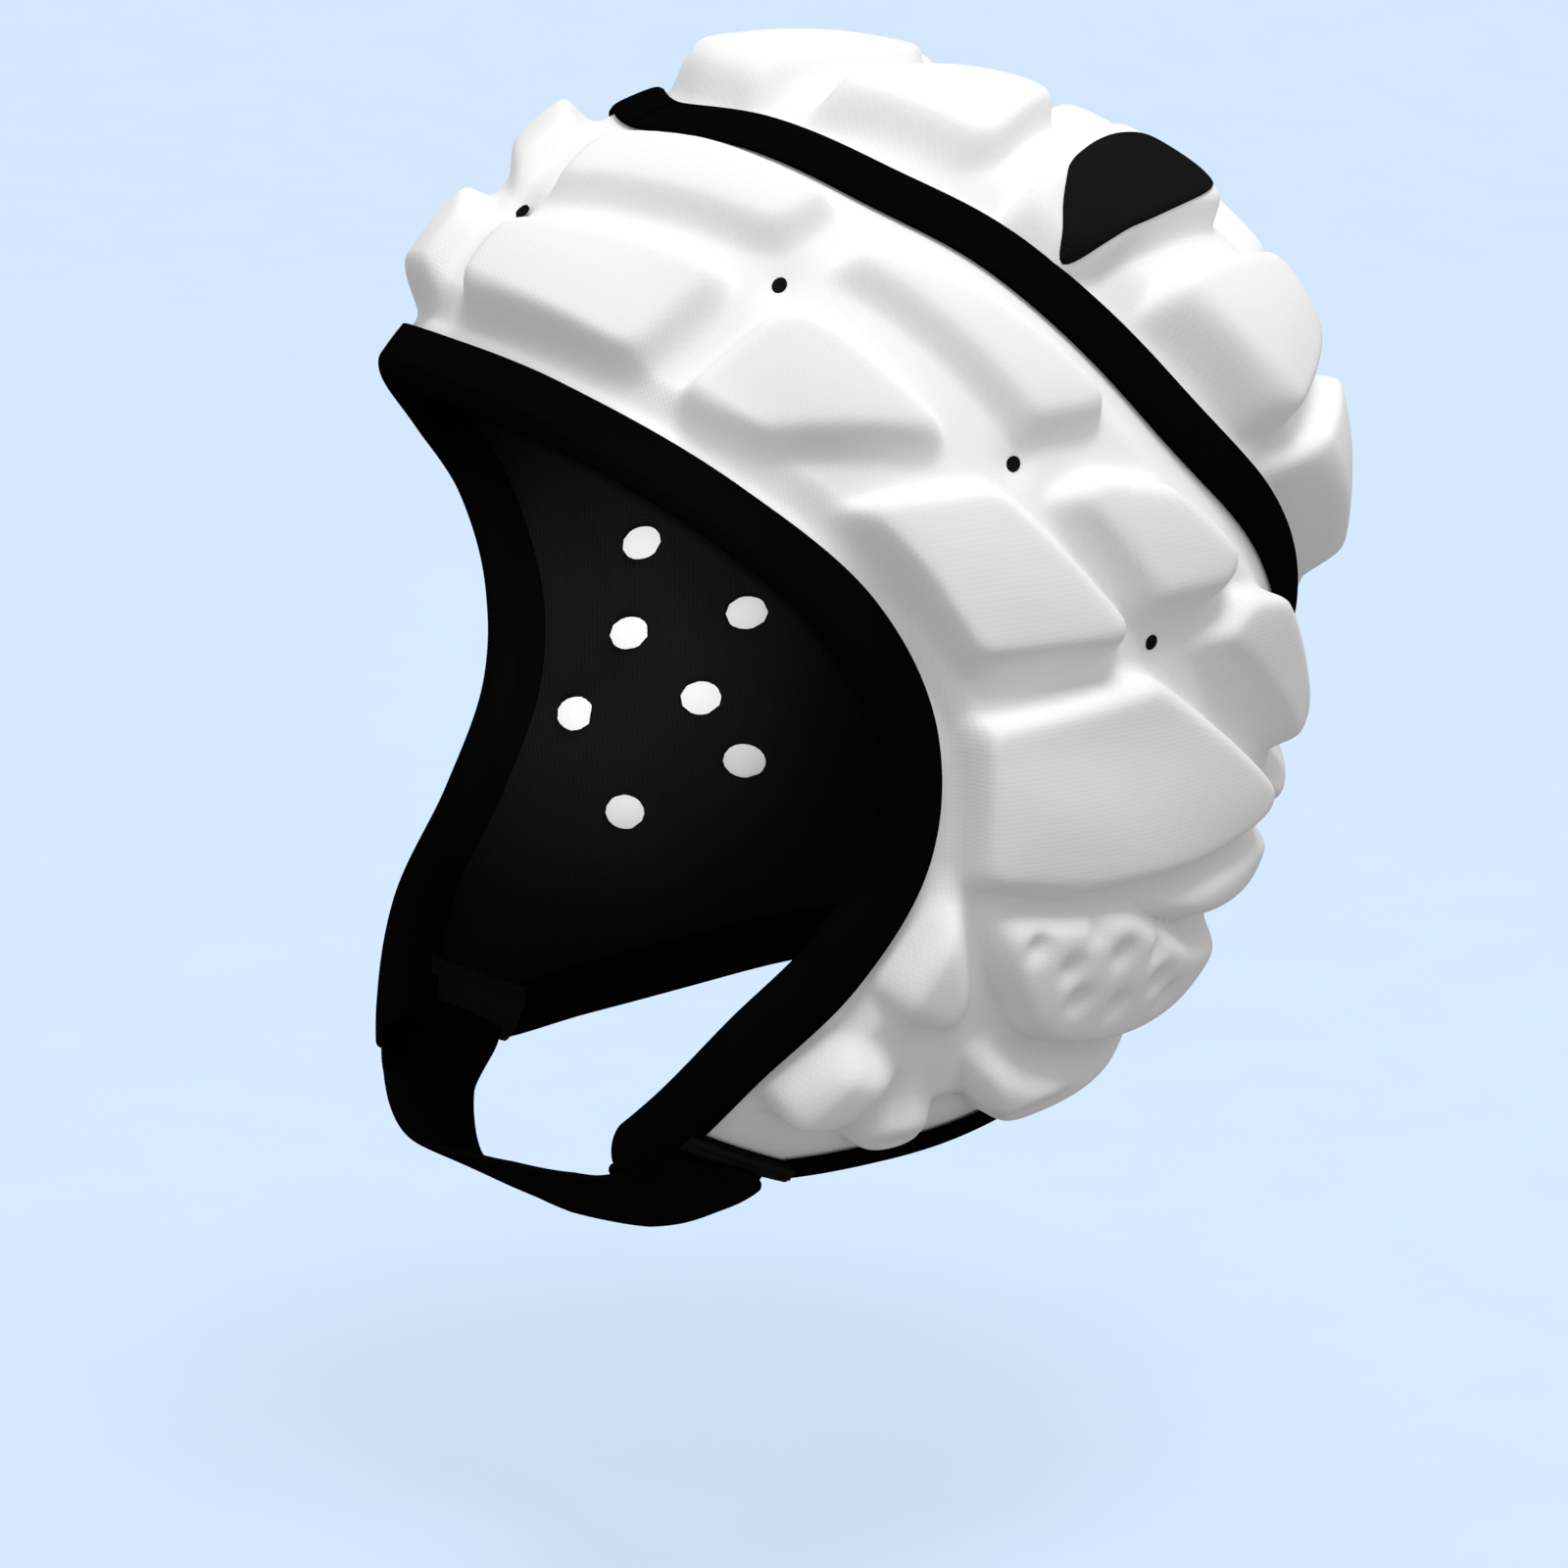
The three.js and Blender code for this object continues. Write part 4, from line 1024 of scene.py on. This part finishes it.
class HELMET_OT_tapes(bpy.types.Operator):
    """Black tapes: bindings folded over the face and neck edges and the flat band round the crown"""

    bl_idname = "helmet.tapes"
    bl_label = "Tapes"

    def execute(self, context):
        front, back = to_direction([BAND_LINE[0], BAND_LINE[-1]])
        edge = [*FACE_EDGE, FACE_TAPE_END]
        edge_tape("face_tape", edge, 1.0, sizes().face_tape / MM, front, ["face_binding"], 170)
        # The neck tape stops a millimetre short of the hem
        _, neck = rim_corners()
        part = 1 - 1 / (arc_length(neck[0], neck[1]) * NECK_STEPS)
        edge_tape("neck_tape", NECK_EDGE[::-1], part, sizes().neck_tape / MM, back, ["neck_binding"], 110)

        half = sizes().band_width / MM / 2
        wall = sizes().tape_wall / MM
        across_way = np.linspace(-1, 1, 15)
        top = beside(half * across_way, TAPE_GAP + wall * (1 - 0.55 * across_way**8))
        low = beside(half * across_way[::-1], TAPE_GAP)
        loop = whole_loop(to_direction(BAND_LINE))
        line = unit(curve_at(loop, np.linspace(0, 1, 360, endpoint=False), closed=True))
        section = np.vstack([top, low])
        swept("crown_tape", line, across(line, True), section, True, "black_tape", ["crown_band"])
        return {"FINISHED"}


class HELMET_OT_hems(bpy.types.Operator):
    """Dark folded strips with two ridges along the ends of the cheeks"""

    bl_idname = "helmet.hems"
    bl_label = "Cheek hems"

    def execute(self, context):
        face, neck = rim_corners()
        start = (sizes().face_tape / MM - HEM_TUCK) / arc_length(face[-1], neck[0])
        share = np.linspace(start, HEM_END, 40)
        left = between(np.repeat(face[-1:], 40, 0), np.repeat(neck[:1], 40, 0), share)
        up = np.array([0.0, 0.0, 1.0])
        middle = len(left) // 2
        section = folded_section(sizes().hem_tape / MM, HEM_RIDGES, HEM_OVER)
        hems = (("left_hem", left, "cheek_hem_left"), ("right_hem", mirrored(left), "cheek_hem_right"))
        for name, line, node in hems:
            tangent = across(line, False, up, middle)
            swept(name, line, tangent, section, False, "hem_cloth", [node])
        return {"FINISHED"}


class HELMET_OT_patch(bpy.types.Operator):
    """Bare black patch draped over one crown block, from its top down to the band"""

    bl_idname = "helmet.patch"
    bl_label = "Crown patch"

    def execute(self, context):
        blocks = all_blocks(CROWN_PADS, {})
        edge = to_direction(PATCH_EDGE)
        chart = local_map(unit(edge.sum(0)))
        outline = curve_at(flatten(edge, chart), np.linspace(0, 1, 120, endpoint=False), closed=True)
        columns = len(outline)
        centre = outline.mean(0)
        rings = centre + (outline - centre)[None] * np.linspace(1 / 30, 1, 30)[:, None, None]
        flat = raise_from(np.vstack([rings.reshape(-1, 2), centre]), chart)
        height = relief(flat, blocks)
        points = np.vstack([surface(flat, height + PATCH_TOP), surface(flat, height + PATCH_UNDERSIDE)])
        count = len(flat)
        ring = np.arange(columns)
        middle = fan(ring, count - 1)
        grid = quads((count - 1) // columns, columns, False, True)
        rim = count - 1 - columns + ring
        after = np.roll(rim, -1)
        wall = beside(rim, after, after + count, rim + count)
        a, b, c = points[middle[0]]
        way = 1 if np.cross(b - a, c - a) @ flat[0] > 0 else -1
        faces = np.vstack([grid[:, ::-way], grid[:, ::way] + count, wall[:, ::-way]])
        fans = [middle[:, ::way], middle[:, ::-way] + count]
        uv = np.vstack([sheet_uv(flat)] * 2)
        piece = add_piece("patch_sheet", points, faces, uv, "patch_cloth", ["crown_patch"], fans)
        return {"FINISHED"}


def webbing(name, rows, node, count):
    """Flat webbing along a line: level section, rounded edges; the free end narrows in a quarter circle."""
    wall = sizes().strap_wall / MM
    share = np.linspace(0, 1, count)
    line = curve_at(rows[:, :3], share)
    knots = running_length(rows[:, :3])
    width = np.interp(share, knots / knots[-1], rows[:, 3])
    run = unit(np.gradient(line, axis=0))
    share_under = np.clip(CHIN_SHARE - np.abs(line[:, :1]) / CHIN_REACH, 0, 1)
    at_cheek, under_chin = STRAP_LEVEL
    normal = unit(np.cross(run, at_cheek + (under_chin - at_cheek) * share_under))
    level = unit(np.cross(normal, run))
    whole = running_length(line)[-1]
    bend = np.clip(1 - (1 - share) * whole / STRAP_ROUNDING, 0, 1)
    half = width / 2 - 0.9 * STRAP_ROUNDING * (1 - np.sqrt(1 - bend**2))
    turn = np.linspace(0, 2 * np.pi, 36, endpoint=False)
    side = np.sign(np.cos(turn)) * np.abs(np.cos(turn)) ** WIDE_POWER
    thick = np.sign(np.sin(turn)) * np.abs(np.sin(turn)) ** THICK_POWER * wall / 2
    points = line[:, None] + level[:, None] * (half[:, None] * side)[..., None]
    points = points + normal[:, None] * thick[None, :, None] + head_middle()
    return ribbon(name, points, False, "strap_webbing", [node])


class HELMET_OT_strap(bpy.types.Operator):
    """Chin strap from the right cheek under the chin and the tab on the left cheek that it fastens on"""

    bl_idname = "helmet.strap"
    bl_label = "Chin strap"

    def execute(self, context):
        webbing("strap_band", STRAP_LINE, "chin_strap", 120)
        webbing("tab_band", TAB_LINE, "strap_tab", 50)
        return {"FINISHED"}


def aim(lamp, place, way):
    """Puts a lamp at a place, shining along a way."""
    lamp.location = place
    lamp.rotation_euler = way.to_track_quat("-Z", "Y").to_euler()


def add_lights(middle, back, right, up):
    """Soft key light from above the camera, and a narrow one from the camera on the far ear holes."""
    way = back * 0.6 + up * 0.92 + right * 0.2
    key = bpy.data.lights.new("key_light", "AREA")
    key.size = 1.4
    key.energy = 96
    aim(add_object("key_light", key), middle + way.normalized() * 4, -way)
    spot = bpy.data.lights.new("inside_light", "SPOT")
    spot.energy = 108
    spot.spot_size = np.radians(3.4)
    spot.spot_blend = 0.6
    spot.shadow_soft_size = 0.02
    far_ear = Vector((-0.078, 0.012, -0.012))
    aim(add_object("inside_light", spot), middle + back * CAMERA_AWAY, far_ear - back * CAMERA_AWAY)


def add_sky(scene):
    """White sky that grows stronger with the height of the direction."""
    scene.world = bpy.data.worlds.new("soft_sky")
    scene.world.use_nodes = True
    sky = scene.world.node_tree
    way = sky.nodes.new("ShaderNodeTexCoord")
    split = sky.nodes.new("ShaderNodeSeparateXYZ")
    ramp = sky.nodes.new("ShaderNodeMapRange")
    ramp.inputs["From Min"].default_value = -1
    ramp.inputs["To Min"].default_value = 0.25
    ramp.inputs["To Max"].default_value = 0.76
    light = sky.nodes["Background"].inputs
    sky.links.new(way.outputs["Generated"], split.inputs[0])
    sky.links.new(split.outputs[2], ramp.inputs["Value"])
    sky.links.new(ramp.outputs[0], light["Strength"])
    light["Color"].default_value = (1, 1, 1, 1)


def backdrop_paper():
    """Pale paper that mostly glows by itself, with a faint grain."""
    paper = bpy.data.materials.new("backdrop_paper")
    paper.use_nodes = True
    tree = paper.node_tree
    shader = tree.nodes["Principled BSDF"].inputs
    grain = tree.nodes.new("ShaderNodeTexNoise")
    grain.inputs["Scale"].default_value = 30
    place = tree.nodes.new("ShaderNodeTexCoord")
    tree.links.new(place.outputs["Object"], grain.inputs["Vector"])
    shade = tuple(colours().backdrop)
    tree.links.new(shade_node(tree, grain.outputs[0], shade, 0.985, 1.015), shader["Emission Color"])
    shader["Emission Strength"].default_value = 0.86
    shader["Base Color"].default_value = (*[c * 0.2 for c in shade], 1)
    shader["Roughness"].default_value = 0.95
    shader["Specular IOR Level"].default_value = 0
    return paper


def add_backdrop(back, right):
    """Level floor that bends up behind the helmet in a quarter circle and goes on straight up."""
    away = -back
    away.z = 0
    away.normalize()
    near, start, radius, height = -3, 1.6, 1.2, 4.0
    bend = np.linspace(0, np.pi / 2, 17)[1:]
    depth = np.concatenate([np.linspace(near, start, 12), start + radius * np.sin(bend), [start + radius]])
    rise = np.concatenate([np.zeros(12), radius * (1 - np.cos(bend)), [height]])
    wide = np.linspace(-4, 4, 9)
    sweep = np.array(away) * depth[:, None, None] + np.array(right) * wide[:, None]
    sweep[..., 2] = CAD_BOX[0][2] - FLOOR_DROP + rise[:, None]
    mesh = bpy.data.meshes.new("backdrop")
    mesh.from_pydata(sweep.reshape(-1, 3).tolist(), [], quads(len(depth), len(wide)).tolist())
    mesh.shade_smooth()
    mesh.materials.append(backdrop_paper())
    backdrop = add_object("backdrop", mesh)
    backdrop.visible_diffuse = False
    backdrop.visible_glossy = False


class HELMET_OT_stage(bpy.types.Operator):
    """Camera at the photograph's angle, soft studio light and a pale floor that sweeps up behind"""

    bl_idname = "helmet.stage"
    bl_label = "Stage"

    def execute(self, context):
        scene = context.scene
        middle = Vector((head_middle() * MM).tolist())
        azimuth, elevation = np.radians(CAMERA_TURN)
        level = np.cos(elevation)
        back = Vector((np.sin(azimuth) * level, -np.cos(azimuth) * level, np.sin(elevation)))
        right = Vector((np.cos(azimuth), np.sin(azimuth), 0))
        up = back.cross(right)
        lens = bpy.data.cameras.new("camera")
        lens.sensor_width = 36
        lens.lens = lens.sensor_width * FOCAL_PIXELS / IMAGE_PIXELS
        lens.shift_x = 0.5 - HEAD_PIXEL[0] / IMAGE_PIXELS
        lens.shift_y = HEAD_PIXEL[1] / IMAGE_PIXELS - 0.5
        scene.camera = add_object("camera", lens)
        turn = Matrix((right, up, back)).transposed().to_4x4()
        scene.camera.matrix_world = Matrix.Translation(middle + back * CAMERA_AWAY) @ turn
        add_lights(middle, back, right, up)
        add_sky(scene)
        scene.view_settings.view_transform = "Standard"
        add_backdrop(back, right)
        return {"FINISHED"}


class HELMET_PT_sidebar(bpy.types.Panel):
    """Sidebar list of the helmet's sizes, colours and pieces"""

    bl_idname = "HELMET_PT_sidebar"
    bl_label = "Padded helmet"
    bl_space_type = "VIEW_3D"
    bl_region_type = "UI"
    bl_category = "Helmet"

    def draw(self, context):
        for settings in (context.scene.helmet_sizes, context.scene.helmet_colours):
            column = self.layout.column()
            for name in settings.__annotations__:
                column.prop(settings, name)
        for operator in OPERATORS:
            self.layout.operator(operator.bl_idname)


OPERATORS = (
    HELMET_OT_stage,
    HELMET_OT_panels,
    HELMET_OT_vents,
    HELMET_OT_lining,
    HELMET_OT_tapes,
    HELMET_OT_hems,
    HELMET_OT_patch,
    HELMET_OT_strap,
)
CLASSES = (HelmetSizes, HelmetColours, *OPERATORS, HELMET_PT_sidebar)


def register():
    for cls in CLASSES:
        bpy.utils.register_class(cls)
    bpy.types.Scene.helmet_sizes = bpy.props.PointerProperty(type=HelmetSizes)
    bpy.types.Scene.helmet_colours = bpy.props.PointerProperty(type=HelmetColours)


def unregister():
    del bpy.types.Scene.helmet_sizes
    del bpy.types.Scene.helmet_colours
    for cls in reversed(CLASSES):
        bpy.utils.unregister_class(cls)


def main():
    register()
    bpy.ops.helmet.stage()
    bpy.ops.helmet.panels()
    bpy.ops.helmet.vents()
    bpy.ops.helmet.lining()
    bpy.ops.helmet.tapes()
    bpy.ops.helmet.hems()
    bpy.ops.helmet.patch()
    bpy.ops.helmet.strap()


if __name__ == "__main__":
    main()
